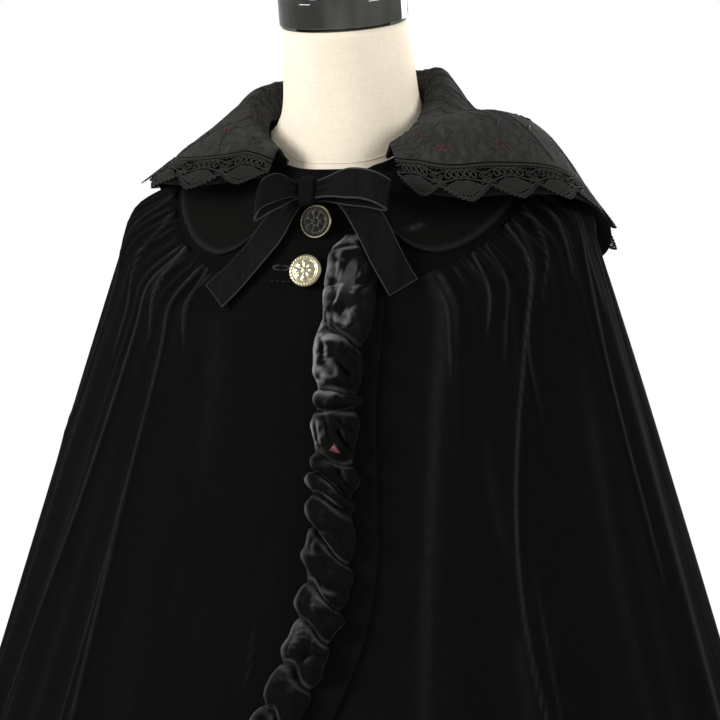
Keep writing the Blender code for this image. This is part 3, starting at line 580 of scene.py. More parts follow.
def gather_height(degrees, fall):
    """Height of the pinched gathers under the yoke seam, and of the fine lines between them from 0 to 1."""
    signed = turn_from(degrees, 0.0)
    size = np.abs(signed)
    below = np.clip(fall, 0.0, None)
    front = FRONT_GATHERS * (size - SMOOTH_ANGLE) / (90.0 - SMOOTH_ANGLE)
    back = 0.5 * BACK_GATHERS * (size - 90.0) / 90.0
    place = np.where(size <= 90.0, front, FRONT_GATHERS + back)
    number = np.floor(place) + 100 * (signed > 0)
    crest = bell(place % 1.0, 0.35 + 0.3 * uneven(number, 3), GATHER_SHARPNESS)
    crest = crest * np.sin(math.pi * (place % 1.0)) ** 0.5
    length = between(GATHER_SHORT, GATHER_LONG, uneven(number, 1) ** 2)
    height = GATHER_HEIGHT * (0.65 + 0.55 * uneven(number, 2))
    fine = place * FINE_GATHERS
    fine_number = np.floor(fine) + 300 * (signed > 0)
    line = bell(fine % 1.0, 0.5, FINE_WIDTH) * (0.3 + 0.7 * uneven(fine_number, 21))
    line = line * np.exp(-below / between(FINE_SHORT, FINE_LONG, uneven(fine_number, 22) ** 2))
    gathers = height * crest * np.exp(-below / length) + FINE_HEIGHT * line
    gathers = gathers * (0.15 + 0.85 * ease(fall / SEAM_TURN))
    return np.where(size < SMOOTH_ANGLE, 0.0, gathers), np.where(size < SMOOTH_ANGLE, 0.0, line)


def back_creases():
    """Creases of the hidden sides, like the front's and as uneven."""
    rows = []
    for number in range(BACK_CREASES):
        start = BACK_FIRST + BACK_SPAN * (number + 0.6 * uneven(number, 5)) / BACK_CREASES
        length = 0.07 + 0.63 * uneven(number, 6) ** 2
        lean = 6.0 * (uneven(number, 7) - 0.5)
        width = 0.0026 + 0.0030 * uneven(number, 8)
        height = 0.0018 + 0.0014 * uneven(number, 9)
        shine = 0.40 + 0.50 * uneven(number, 10)
        end = min(length, HEM_FALL)
        rows.append(Crease(0.0, end, start, start + 0.4 * lean, start + lean, width, height, shine))
    return tuple(rows)


def crease_lines(angle, fall):
    """Height of the narrow creases and the strength of the painted sheen along them."""
    degrees = np.degrees(angle)
    height = np.zeros(degrees.shape)
    shine = np.zeros(degrees.shape)
    ring = along(RINGS, fall)
    reach = 0.5 * (ring[..., 0] + ring[..., 1])
    for row in CREASES + back_creases():
        below = row.top + min(HAND, 0.5 * (row.low - row.top))
        knots = ((row.top, row.start), (below, row.near), (row.low, row.end))
        centre = along(knots, np.clip(fall, row.top, row.low))[..., 0]
        away = np.radians(turn_from(degrees, centre)) * reach
        share = (fall - row.top) / (row.low - row.top)
        fade = ease((1 - share) / 0.3) * (ease(share / 0.2) if row.top > 0 else 1.0) * (share >= 0)
        crisp = CRISP if row.width < BROAD else 1.0
        height += row.height * bell(away, 0.0, row.width) * fade
        shine += row.shine * bell(away, 0.0, crisp * row.width) * fade
    shine = shine * np.exp(-np.clip(fall, 0.0, SHINE_END) / SHINE_FADE)
    return height, np.clip(shine, 0.0, 1.0)


def lap_drop(angle, fall):
    """How far the left side sinks beneath the right front's lap."""
    edge = angle_at(edge_x(fall, 1), fall)
    return -LAP * ease((edge + math.radians(LAP_START) - angle) / math.radians(LAP_BLEND))


def body_surface(angle, fall, out):
    """Point over the plain rings with the large folds."""
    return over_base(angle, fall, out + fold_height(angle, fall))[0]


# Falling collar

def fall_stations(angle):
    """Radius, height and share of length of the six points that each collar section passes."""
    values = along(FALLS, np.degrees(angle))
    roll_r, roll_z, sag, crest_r, crest_z, edge_r, edge_z = np.moveaxis(values, -1, 0)
    foot = base_point(angle, np.full(angle.shape, NECK_FALL))
    foot_r = np.hypot(foot[..., 0], foot[..., 1] - NECK_CENTRE_Y) + 0.6 * VELVET
    foot_z = foot[..., 2] + 4 * SEAM
    turn = np.minimum(ROLL_RADIUS, 0.45 * (roll_z - foot_z))
    radius = np.stack((foot_r, roll_r, roll_r + turn, 0.5 * (roll_r + turn + crest_r), crest_r, edge_r))
    height = np.stack((foot_z, roll_z - turn, roll_z, 0.5 * (roll_z + crest_z) - sag, crest_z, edge_z))
    length = np.cumsum(np.hypot(np.diff(radius, axis=0), np.diff(height, axis=0)), axis=0)
    share = np.concatenate((np.zeros((1,) + angle.shape), length / length[-1]))
    return radius, height, share, length[-1]


def lace_depth(u):
    """Depth of the lace at a share of the edge, less at the collar's short front ends."""
    lines = np.linspace(0.0, 1.0, FALL_COLUMNS + 1)
    share, length = fall_stations(edge_angle(lines))[2:]
    return np.interp(u, lines, np.minimum(LACE_DEPTH, LACE_SHARE * (1 - share[2]) * length))


def fall_section(angle, step):
    """Top of the wide collar's under layer: step 0 at the neck seam, 1 at the edge."""
    radius, height, share = fall_stations(angle)[:3]
    reach = through(radius, share, step)
    x = reach * np.sin(angle)
    y = NECK_CENTRE_Y - reach * np.cos(angle)
    return np.stack((x, y, through(height, share, step)), -1)


def fall_normal(angle, step):
    across = fall_section(angle + SMALL, step) - fall_section(angle - SMALL, step)
    outward = fall_section(angle, step + SMALL) - fall_section(angle, step - SMALL)
    return unit(np.cross(outward, across))


def fall_step_above(angle, length):
    """Step of the point that lies a length of cloth above the collar's edge, or below it if negative."""
    steps = np.linspace(0.0, 1.3, 105)
    edge = int(np.argmin(np.abs(steps - 1.0)))
    grid = fall_section(*np.meshgrid(angle, steps, indexing="ij"))
    pieces = np.linalg.norm(np.diff(grid, axis=1), axis=2)
    run = np.concatenate((np.zeros((len(angle), 1)), np.cumsum(pieces, 1)), 1)
    lengths = np.broadcast_to(length, angle.shape)
    return np.array([np.interp(row[edge] - want, row, steps) for want, row in zip(lengths, run)])


def edge_angle(share):
    """Angle at a share of the length along the wide collar's edge."""
    angle = np.linspace(FIRST_FALL, LAST_FALL, 721)
    edge = fall_section(angle, np.full(angle.shape, 0.9))
    length = np.concatenate(((0.0,), np.cumsum(np.linalg.norm(np.diff(edge, axis=0), axis=1))))
    return np.interp(share, length / length[-1], angle)


def fall_grid(u, angle, row):
    """Step of each row at each angle: over the stand and roll, then evenly to the lace and the edge."""
    share = fall_stations(angle)[2]
    last = fall_step_above(angle, lace_depth(u) * (1 - LACE_HANG) + 4 * SEAM)
    stops = [np.zeros(angle.shape), share[1], 0.5 * (share[1] + share[2]), share[2]]
    rest = FALL_ROWS - len(stops) + 1
    stops += [share[2] + (last - share[2]) * (i + 1) / rest for i in range(rest)]
    stops += [last + (1 - last) * (i + 1) / FALL_EDGE_ROWS for i in range(FALL_EDGE_ROWS)]
    table = np.stack(stops)
    cell = np.clip(np.floor(row).astype(int), 0, len(stops) - 2)
    return (table[cell] + (table[cell + 1] - table[cell]) * (row - cell)[:, None]).T


# Meshes

def make(name, points, faces, looks, face_look=None, painted_sheen=None):
    """A smooth mesh object that rides on the part's one body."""
    mesh = bpy.data.meshes.new(name)
    listed = faces if isinstance(faces, list) else faces.tolist()
    mesh.from_pydata(points.reshape(-1, 3).tolist(), [], listed)
    for look in looks:
        mesh.materials.append(look)
    if face_look is not None:
        mesh.polygons.foreach_set("material_index", face_look)
    mesh.polygons.foreach_set("use_smooth", np.ones(len(faces), dtype=bool))
    # Per-point strength of the painted sheen and highlights, which the velvet looks read
    if painted_sheen is not None:
        layer = mesh.attributes.new("painted_sheen", "FLOAT", "POINT")
        layer.data.foreach_set("value", painted_sheen.ravel())
    mesh.update()
    made = bpy.data.objects.new(name, mesh)
    bpy.context.scene.collection.objects.link(made)
    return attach(made, "root")


def grid_lines(count, size, crowd=1.0):
    """Shares of a cloth's grid lines, closer to the far end, and three more inside each edge to round it."""
    near = np.array((0.15, 0.45, 1.0)) * EDGE_ROUND / size
    lines = 1 - np.linspace(1.0, 0.0, count + 1) ** crowd
    inside = lines[(lines > 1.3 * near[-1]) & (lines < 1 - 1.3 * near[-1])]
    return np.concatenate(((0.0,), near, inside, 1 - near[::-1], (1.0,)))


def cloth_grid(grid, crowd=1.0):
    """Lines of a cloth's grid both ways, and the two shares where they cross."""
    lines = (grid_lines(grid.columns, grid.size[0]), grid_lines(grid.rows, grid.size[1], crowd))
    return (lines, *np.meshgrid(*lines, indexing="ij"))


def grid_normals(points):
    across = np.gradient(points, axis=0)
    upward = np.gradient(points, axis=1)
    return unit(np.cross(across, upward))


def quads(corners):
    """Four-sided faces from the arrays of their corners."""
    return np.stack([corner.ravel() for corner in corners], -1)


def grid_faces(columns, rows, first=0, flip=False):
    index = first + np.arange(columns * rows).reshape(columns, rows)
    faces = quads((index[:-1, :-1], index[1:, :-1], index[1:, 1:], index[:-1, 1:]))
    return faces[:, ::-1] if flip else faces


def grid_rim(columns, rows):
    """Points round a grid's edge in order, and the point after each."""
    index = np.arange(columns * rows).reshape(columns, rows)
    rim = np.concatenate((index[:, 0], index[-1, 1:], index[-2::-1, -1], index[0, -2:0:-1]))
    return rim, np.roll(rim, -1)


def shell(name, lines, size, wall, points, looks, painted_sheen=None):
    """Closed cloth wall under a grid of outer points, its edges rounded, its last look on the inside."""
    u_lines, w_lines = lines
    normals = grid_normals(points)
    columns, rows = points.shape[:2]
    to_edge = np.minimum(np.minimum(u_lines, 1 - u_lines)[:, None] * size[0],
                         np.minimum(w_lines, 1 - w_lines)[None, :] * size[1])
    turn = EDGE_TURN * wall * np.clip(1 - to_edge / EDGE_ROUND, 0.0, 1.0) ** 2
    outer = points - normals * turn[..., None]
    inner = points - normals * (wall - turn)[..., None]
    count = columns * rows
    rim, after = grid_rim(columns, rows)
    sides = np.stack((rim, rim + count, after + count, after), -1)
    faces = np.concatenate((grid_faces(columns, rows), grid_faces(columns, rows, count, True), sides))
    face_look = np.zeros(len(faces), dtype=np.int32)
    inside = (columns - 1) * (rows - 1)
    inner_look = face_look[inside:2 * inside].reshape(columns - 1, rows - 1)
    inner_look[:, w_lines[1:] < LINING_TOP] = len(looks) - 1
    both = None if painted_sheen is None else np.concatenate((painted_sheen.ravel(), painted_sheen.ravel()))
    GRIDS[name] = (u_lines, w_lines, outer, normals)
    walls = np.concatenate((outer.reshape(-1, 3), inner.reshape(-1, 3)))
    return make(name, walls, faces, looks, face_look, both)


def stack(name, rings, looks):
    """Closed mesh through rings of points, from one end to the other, with a flat face at each end."""
    rows, columns = rings.shape[:2]
    index = np.arange(rows * columns).reshape(rows, columns)
    after = np.roll(index, -1, 1)
    faces = quads((index[:-1], after[:-1], after[1:], index[1:])).tolist()
    faces += [index[0, ::-1].tolist(), index[-1].tolist()]
    return make(name, rings, faces, looks)


def turned_rings(outline, sides):
    """Rings of a turned outline of radius and height, its corners kept crisp by close rings."""
    outline = np.array(outline, dtype=float)
    outline[:, 0] = np.maximum(outline[:, 0], 0.0002)
    stops = [outline[:1]]
    for start, end in zip(outline[:-1], outline[1:]):
        stops.append(start + (end - start) * np.array((0.04, 0.35, 0.65, 0.96, 1.0))[:, None])
    radius, height = np.concatenate(stops)[::-1].T
    turn = full_turn(sides)
    return np.stack((radius[:, None] * np.cos(turn), radius[:, None] * np.sin(turn),
                     np.repeat(height[:, None], sides, 1)), -1)


def leaned(points, lean, yaw, place):
    """Points tipped about x, then turned about z, then moved."""
    tip = np.array(((1, 0, 0), (0, math.cos(lean), -math.sin(lean)), (0, math.sin(lean), math.cos(lean))))
    swing = np.array(((math.cos(yaw), -math.sin(yaw), 0), (math.sin(yaw), math.cos(yaw), 0), (0, 0, 1)))
    return points @ (swing @ tip).T + place


def on_grid(name, u, w, out):
    """Points a distance out from a shell's outer grid, and the outward direction there."""
    u_lines, w_lines, points, normals = GRIDS[name]
    i = np.clip(np.searchsorted(u_lines, u) - 1, 0, len(u_lines) - 2)
    j = np.clip(np.searchsorted(w_lines, w) - 1, 0, len(w_lines) - 2)
    s = np.clip((u - u_lines[i]) / (u_lines[i + 1] - u_lines[i]), 0.0, 1.0)[..., None]
    t = np.clip((w - w_lines[j]) / (w_lines[j + 1] - w_lines[j]), 0.0, 1.0)[..., None]
    found = []
    for values in (points, normals):
        low = values[i, j] * (1 - s) + values[i + 1, j] * s
        high = values[i, j + 1] * (1 - s) + values[i + 1, j + 1] * s
        found.append(low * (1 - t) + high * t)
    outward = unit(found[1])
    return found[0] + outward * np.asarray(out)[..., None], outward


def tubes(paths, outward, radius, closed=False, sides=5, flat=1.0):
    """Threads along paths of one length, lying on a surface: points and faces of all of them."""
    count, steps = paths.shape[:2]
    if closed:
        ahead = np.roll(paths, -1, 1) - np.roll(paths, 1, 1)
    else:
        ahead = np.gradient(paths, axis=1)
    ahead = unit(ahead)
    aside = unit(np.cross(ahead, outward))
    upward = np.cross(aside, ahead)
    turn = full_turn(sides)
    thick = np.broadcast_to(np.asarray(radius, dtype=float), (steps,))[None, :, None, None]
    ring = np.cos(turn)[:, None] * flat * upward[:, :, None, :]
    ring = ring + np.sin(turn)[:, None] * aside[:, :, None, :]
    points = paths[:, :, None, :] + thick * ring
    index = np.arange(count * steps * sides).reshape(count, steps, sides)
    if closed:
        index = np.concatenate((index, index[:, :1]), 1)
    index = np.concatenate((index, index[:, :, :1]), 2)
    faces = quads((index[:, :-1, :-1], index[:, :-1, 1:], index[:, 1:, 1:], index[:, 1:, :-1]))
    return points.reshape(-1, 3), faces


def joined(groups):
    """Points and faces of several groups as one."""
    points, faces, first = [], [], 0
    for group_points, group_faces in groups:
        points.append(group_points)
        faces.append(group_faces + first)
        first += len(group_points)
    return np.concatenate(points), np.concatenate(faces)


# Materials

def new_look(name, colour, roughness, metallic=0.0, sheen=None, specular=0.5):
    """Principled material; sheen is a weight, a roughness and a tint."""
    made = bpy.data.materials.new(name)
    made.use_nodes = True
    shader = made.node_tree.nodes["Principled BSDF"]
    shader.inputs["Base Color"].default_value = (*colour, 1.0)
    shader.inputs["Roughness"].default_value = roughness
    shader.inputs["Metallic"].default_value = metallic
    shader.inputs["Specular IOR Level"].default_value = specular
    if sheen:
        shader.inputs["Sheen Weight"].default_value = sheen[0]
        shader.inputs["Sheen Roughness"].default_value = sheen[1]
        shader.inputs["Sheen Tint"].default_value = (*sheen[2], 1.0)
    made.diffuse_color = (*colour, 1.0)
    return made


def add(look, kind, **values):
    """New node of a material, with values for its sockets by name."""
    node = look.node_tree.nodes.new(kind)
    for name, value in values.items():
        if hasattr(node, name):
            setattr(node, name, value)
        else:
            node.inputs[name.replace("_", " ")].default_value = value
    return node


def link(look, start, end):
    look.node_tree.links.new(start, end)


def noise(look, scale, stretch=(1.0, 1.0, 1.0), detail=4.0, roughness=0.6):
    """Noise in the object's own metres, stretched along an axis."""
    place = add(look, "ShaderNodeTexCoord")
    stretched = add(look, "ShaderNodeMapping", Scale=stretch)
    made = add(look, "ShaderNodeTexNoise", Scale=scale, Detail=detail, Roughness=roughness)
    link(look, place.outputs["Object"], stretched.inputs["Vector"])
    link(look, stretched.outputs["Vector"], made.inputs["Vector"])
    return made.outputs["Fac"]


def blend_colours(look, share, low, high, low_at=0.0, high_at=1.0):
    ramp = add(look, "ShaderNodeValToRGB")
    for element, colour, place in zip(ramp.color_ramp.elements, (low, high), (low_at, high_at)):
        element.color = (*colour, 1.0)
        element.position = place
    link(look, share, ramp.inputs["Fac"])
    return ramp


def combine(look, kind, first, second):
    """Result of a sum or product of two sockets, or of a socket and a number."""
    node = add(look, "ShaderNodeMath", operation=kind)
    for socket, value in zip(node.inputs, (first, second)):
        if isinstance(value, float):
            socket.default_value = value
        else:
            link(look, value, socket)
    return node.outputs[0]


def bump(look, height, distance, strength=1.0):
    node = add(look, "ShaderNodeBump", Strength=strength, Distance=distance)
    link(look, height, node.inputs["Height"])
    link(look, node.outputs["Normal"], look.node_tree.nodes["Principled BSDF"].inputs["Normal"])
    return node


def colour_from(look, ramp):
    link(look, ramp.outputs["Color"], look.node_tree.nodes["Principled BSDF"].inputs["Base Color"])


def velvet_look(name, dark, brushed_and_sheen, sheen_roughness, tint, streaks=0.10, paints_sheen=True):
    """Cut pile: black with a soft grey edge, lighter streaks of brushing in the pile, painted sheen and
    highlights where the mesh's attribute marks them, and fine pile bump.
    """
    look = new_look(name, dark, 0.95, sheen=(1.0, sheen_roughness, tint), specular=0.02)
    streak = noise(look, 70.0, (1.0, 1.0, 0.12), 5.0, 0.65)
    mottle = noise(look, 260.0, (1.0, 1.0, 0.5), 3.0)
    share = combine(look, "MULTIPLY", combine(look, "MULTIPLY", streak, mottle), streaks)
    # Painted sheen and highlights: the colour goes towards the lightest velvet colour where the mesh's
    # attribute is high
    if paints_sheen:
        painted_sheen = add(look, "ShaderNodeAttribute", attribute_name="painted_sheen")
        painted_lightening = combine(look, "MULTIPLY", painted_sheen.outputs["Fac"], combine(look, "ADD", mottle, 0.35))
        share = combine(look, "ADD", share, painted_lightening)
    colour_from(look, blend_colours(look, share, dark, brushed_and_sheen))
    bump(look, noise(look, 2600.0, detail=2.0), 0.0003, 0.5)
    return look


def thread_look(name, dark, light, scale, roughness, sheen=None):
    """Twisted or woven thread: fine light and dark flecks with bump."""
    look = new_look(name, dark, roughness, sheen=sheen, specular=0.25)
    fleck = noise(look, scale, detail=3.0)
    colour_from(look, blend_colours(look, fleck, dark, light))
    bump(look, fleck, 0.0003, 0.6)
    return look


def crinkled_look():
    """Matte dark cloth of the falling collar, crinkled across, with a fine weave; its colour lightens where
    the crinkle bump rises, the cloth's uneven tone together with painted light and shade of the crinkles.
    """
    sheen = (0.8, 0.5, (0.07, 0.07, 0.066))
    look = new_look("embroidered_cloth", (0.022, 0.022, 0.022), 0.95, sheen=sheen, specular=0.1)
    crinkle = noise(look, 190.0, (1.0, 1.0, 0.45), 5.0, 0.75)
    weave = noise(look, 1500.0, detail=2.0)
    ramp = blend_colours(look, crinkle, (0.012, 0.012, 0.0112), (0.042, 0.042, 0.0385), 0.34, 0.70)
    colour_from(look, ramp)
    both = combine(look, "ADD", crinkle, combine(look, "MULTIPLY", weave, 0.25))
    bump(look, both, 0.0040, 0.9)
    return look


def linen_look():
    """Cream linen: over and under threads both ways, with slubs."""
    look = new_look("linen", (0.85, 0.78, 0.66), 0.9, sheen=(0.15, 0.5, (1.0, 0.95, 0.85)), specular=0.2)
    across = noise(look, 620.0, (0.14, 0.14, 1.0), 3.0)
    upward = noise(look, 620.0, (1.0, 1.0, 0.10), 3.0)
    weave = combine(look, "ADD", across, upward)
    share = combine(look, "MULTIPLY", weave, 0.5)
    colour_from(look, blend_colours(look, share, (0.68, 0.59, 0.47), (0.92, 0.83, 0.68)))
    bump(look, weave, 0.0004, 0.5)
    return look


def metal_look(name, low, high, roughness, scale):
    look = new_look(name, high, roughness, metallic=1.0)
    patina = noise(look, scale, detail=5.0)
    colour_from(look, blend_colours(look, patina, low, high))
    bump(look, patina, 0.0002, 0.2)
    return look


def gloss_look():
    look = new_look("black_gloss", (0.012, 0.012, 0.011), 0.05, specular=0.9)
    # Painted reflection: soft upright lighter and darker bands, as of studio lights seen in the gloss
    painted_reflection_bands = noise(look, 30.0, (1.0, 1.0, 0.04), 2.0)
    colour_from(look, blend_colours(look, painted_reflection_bands, (0.004, 0.004, 0.003), (0.036, 0.036, 0.029), 0.44, 0.66))
    bump(look, painted_reflection_bands, 0.0004, 0.08)
    return look


GRIDS = {}
# Velvets: darkest colour, lightest colour reached by streaks and painted sheen, sheen roughness and tint,
# streak strength, and whether painted sheen is read
BODY_VELVET = velvet_look("black_velvet", (0.0026, 0.0026, 0.0024), (0.034, 0.0345, 0.034), 0.30,
                          (0.018, 0.018, 0.017))
FLAT_VELVET = velvet_look("collar_velvet", (0.0042, 0.0042, 0.0038), (0.036, 0.0365, 0.036), 0.30,
                          (0.022, 0.022, 0.021))
PUFF_VELVET = velvet_look("puffed_velvet", (0.0030, 0.0030, 0.0029), (0.185, 0.187, 0.182), 0.14,
                          (0.030, 0.030, 0.030), 0.02)
RIBBON_VELVET = velvet_look("velvet_ribbon", (0.0030, 0.0032, 0.0031), (0.016, 0.017, 0.016), 0.35,
                            (0.024, 0.025, 0.024), 0.8, False)
LINING = thread_look("red_lining", (0.062, 0.011, 0.014), (0.112, 0.019, 0.023), 1800.0, 0.45)
CRINKLED = crinkled_look()
VINE_THREAD = thread_look("dark_thread", (0.006, 0.006, 0.006), (0.026, 0.026, 0.024), 1600.0, 0.75)
RED_THREAD = thread_look("red_thread", (0.034, 0.011, 0.014), (0.085, 0.030, 0.035), 1800.0, 0.7)
LACE_THREAD = thread_look("black_lace", (0.007, 0.007, 0.006), (0.027, 0.0275, 0.023), 1900.0, 0.85)
LACE_GROUND = thread_look("lace_ground", (0.002, 0.002, 0.0018), (0.012, 0.012, 0.0105), 800.0, 0.9)
SELVEDGE = thread_look("ribbon_edge", (0.006, 0.0062, 0.006), (0.040, 0.041, 0.040), 900.0, 0.8)
GOLD = metal_look("antique_gold", (0.30, 0.26, 0.16), (0.68, 0.62, 0.44), 0.30, 420.0)
# Gold of the upper button's face painted almost black, standing in for the dark reflection of the bow and
# cape above it
GOLD_PAINTED_DARK = metal_look("gold_painted_dark_reflection", (0.008, 0.008, 0.007), (0.040, 0.038, 0.032), 0.42, 420.0)
LINEN = linen_look()
SEAM_THREAD = thread_look("seam_thread", (0.64, 0.59, 0.49), (0.80, 0.74, 0.63), 1600.0, 0.8)
GLOSS = gloss_look()
STEEL = metal_look("stand_metal", (0.42, 0.42, 0.43), (0.62, 0.62, 0.63), 0.28, 60.0)


# Cape body, yoke and flat collar

def seam_degrees(fall):
    """How far each cloth passes the side seam's line, as an angle."""
    return np.degrees(0.5 * SEAM_LAP / along(RINGS, fall)[..., 1])


def velvet_piece(name, node, grid, lines, points, looks, painted_sheen):
    """Velvet wall in the place of a solid."""
    made = shell(name, lines, grid.size, VELVET, points, looks, painted_sheen)
    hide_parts(node)
    return made


def gathered_lift(degrees, angle, fall, sewn):
    """Height of a body's creases and, where it is sewn to the yoke, its gathers, and the painted sheen along
    them.
    """
    crease, painted_sheen = crease_lines(angle, fall)
    gathers, lines = gather_height(degrees, fall)
    painted_sheen = painted_sheen + (GATHER_PAINTED_SHEEN * (gathers / GATHER_HEIGHT) ** 3 + FINE_PAINTED_SHEEN * lines ** 2) * sewn
    return gathers * sewn + crease, painted_sheen


def body_front(side, name, node):
    """Front from its side seam: gathered to the yoke, then smooth to the lap's edge or under it."""
    lines, share, level = cloth_grid(FRONT_GRID, BODY_CROWD)
    fall = between(HEM_FALL, -SEAM - SEAM_LAP, level)
    inward = share if side < 0 else 1 - share
    gathered = np.clip(inward / GATHERED_SHARE, None, 1.0)
    plain = np.clip((inward - GATHERED_SHARE) / (1 - GATHERED_SHARE), 0.0, 1.0)
    degrees = side * between(90.0 + seam_degrees(fall), SMOOTH_ANGLE, gathered)
    end = edge_x(fall, 1) - (UNDERLAP + BODY_UNDERLAP) * (side > 0)
    angle = drift(degrees, fall)
    angle = between(angle, angle_at(end, fall), plain)
    lift, painted_sheen = gathered_lift(degrees, angle, fall, plain <= 0)
    if side > 0:
        lift = lift + lap_drop(angle, fall)
    points = body_surface(angle, fall, lift)
    looks = (BODY_VELVET, LINING)
    velvet_piece(name, node, FRONT_GRID, lines, points, looks, painted_sheen)


def body_back():
    lines, share, level = cloth_grid(BACK_GRID, BODY_CROWD)
    fall = between(HEM_FALL, -SEAM - SEAM_LAP, level)
    start = 90.0 - seam_degrees(fall)
    degrees = start + (360.0 - 2 * start) * share
    angle = drift(degrees, fall)
    lift, painted_sheen = gathered_lift(degrees, angle, fall, True)
    points = body_surface(angle, fall, lift)
    velvet_piece("velvet_back", "back", BACK_GRID, lines, points, (BODY_VELVET, LINING), painted_sheen)


def yoke_front(side, name, node):
    lines, share, level = cloth_grid(YOKE_GRID)
    fall = between(-SEAM, NECK_FALL, level)
    start = side * (math.pi / 2 + np.radians(seam_degrees(fall)))
    end = angle_at(edge_x(fall, 1) - UNDERLAP * (side > 0), fall)
    inward = share if side < 0 else 1 - share
    angle = start + (end - start) * inward * (CROWDING[0] + CROWDING[1] * inward)
    painted_sheen = np.zeros(angle.shape)
    drop = lap_drop(angle, fall) if side > 0 else painted_sheen
    points = over_base(angle, fall, drop)[0]
    velvet_piece(name, node, YOKE_GRID, lines, points, (BODY_VELVET,), painted_sheen)


def yoke_back():
    lines, share, level = cloth_grid(BACK_YOKE_GRID)
    fall = between(-SEAM, NECK_FALL, level)
    start = math.pi / 2 - np.radians(seam_degrees(fall))
    points = base_point(start + (2 * math.pi - 2 * start) * share, fall)
    painted_sheen = np.zeros(share.shape)
    velvet_piece("velvet_yoke_back", "yoke_back", BACK_YOKE_GRID, lines, points, (BODY_VELVET,), painted_sheen)


def flat_collar(side, name, node):
    """Flat collar half from the centre front round to the centre back."""
    lines, share, level = cloth_grid(FLAT_GRID)
    round_neck = (1 - share) if side < 0 else share
    ahead = np.clip(1 - 2 * round_neck, 0.0, None)
    behind = np.clip(2 * round_neck - 1, 0.0, None)
    degrees = 90.0 - (90.0 - LOBES[0].angle) * ahead * (CROWDING[0] + CROWDING[1] * ahead)
    degrees = degrees + (90.0 - BACK_GAP) * behind
    low = along(LOBES, degrees)[..., 0]
    fall = between(low, LOBE_NECK_FALL, level)
    points = over_base(side * np.radians(degrees), fall, LOBE_OUT)[0]
    # Painted sheen along the edge, and on the left half a painted sheen spot
    painted_sheen = RIM_PAINTED_SHEEN * bell(level, RIM_AT, RIM_WIDTH)
    if side > 0:
        spot = bell(degrees, SPOT_PLACE[0], SPOT_SIZE[0]) * bell(fall, SPOT_PLACE[1], SPOT_SIZE[1])
        painted_sheen = painted_sheen + SPOT_PAINTED_SHEEN * spot
    velvet_piece(name, node, FLAT_GRID, lines, points, (FLAT_VELVET,), painted_sheen)


# Wide falling collar and its trim

def fall_points(u_lines, row_lines, out):
    angle = edge_angle(u_lines)
    step = fall_grid(u_lines, angle, row_lines)
    across = np.repeat(angle[:, None], step.shape[1], 1)
    return fall_section(across, step) + fall_normal(across, step) * out


def fall_under():
    lines, _, level = cloth_grid(UNDER_GRID)
    points = fall_points(lines[0], (1 - lines[1]) * (FALL_ROWS + FALL_EDGE_ROWS), 0.0)
    # Painted sheen along the edge of the under collar
    painted_sheen = UNDER_PAINTED_SHEEN * bell(level, 0.0, UNDER_PAINTED_SHEEN_WIDTH)
    velvet_piece("velvet_fall_under", "fall_under", UNDER_GRID, lines, points, (BODY_VELVET,), painted_sheen)


def wrinkles(u, w):
    """Height of the uneven small wrinkles of the upper collar cloth, none at its edges."""
    total = np.zeros(u.shape)
    for k in range(10):
        wave = 260.0 + 190.0 * uneven(k, 90)
        wander = 3.0 * np.sin(7.0 * w + 6.28 * uneven(k, 91))
        wander = wander + 2.5 * np.sin(41.0 * u + 6.28 * uneven(k, 92))
        total += np.sin(wave * (u + 0.05 * (uneven(k, 93) - 0.5) * w) + wander)
    inside = ease(np.minimum(np.minimum(u, 1 - u) / 0.02, np.minimum(w, 1 - w) / 0.08))
    return WRINKLE_HEIGHT * np.clip(total / 4.0, 0.0, 1.0) * inside


def fall_upper():
    lines, share, level = cloth_grid(UPPER_GRID)
    out = SEAM + COLLAR_CLOTH + wrinkles(share, level)
    points = fall_points(lines[0], (1 - lines[1]) * FALL_ROWS, out[..., None])
    made = shell("embroidered_fall", lines, UPPER_GRID.size, COLLAR_CLOTH, points, (CRINKLED,))
    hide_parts("fall_upper")
    embroidery()
    return made


def on_collar(u, w, out):
    return on_grid("embroidered_fall", u, w, np.full(u.shape, out))


def stems_and_leaves():
    """Threads of the leafy stems over the fall and the stand."""
    number = np.arange(STEMS)
    t = np.linspace(0.0, 1.0, 34)
    root = (number + 0.5) / STEMS
    reach = STEM_SWAY * (0.6 + 0.8 * uneven(number, 50))
    phase = 6.28 * uneven(number, 51)
    stem_u = root[:, None] + reach[:, None] * np.sin(STEM_WAVE * t + phase[:, None])
    stem_w = np.repeat((STEM_FOOT + STEM_LENGTH * t)[None, :], STEMS, 0)
    groups = [tubes(*on_collar(stem_u, stem_w, 0.0003), STEM_RADIUS, flat=0.7)]
    along_leaf = np.linspace(0.0, 1.0, 8)
    swell = 0.0001 + LEAF_SWELL * np.sin(math.pi * along_leaf) ** 0.8
    for leaf in range(LEAVES):
        place = (leaf + 0.5) / LEAVES
        side = 1.0 if leaf % 2 else -1.0
        foot_u = root + reach * np.sin(STEM_WAVE * place + phase)
        wide = LEAF_WIDE + LEAF_WIDER * uneven(number, 60 + leaf)
        tall = LEAF_TALL * (0.7 + 0.6 * uneven(number, 70 + leaf))
        leaf_u = foot_u[:, None] + side * along_leaf ** 1.3 * wide[:, None]
        leaf_w = STEM_FOOT + STEM_LENGTH * place + along_leaf ** 0.7 * tall[:, None]
        paths = on_collar(np.clip(leaf_u, 0.002, 0.998), leaf_w, 0.0002)
        groups.append(tubes(*paths, swell, sides=6, flat=0.30))
    return groups


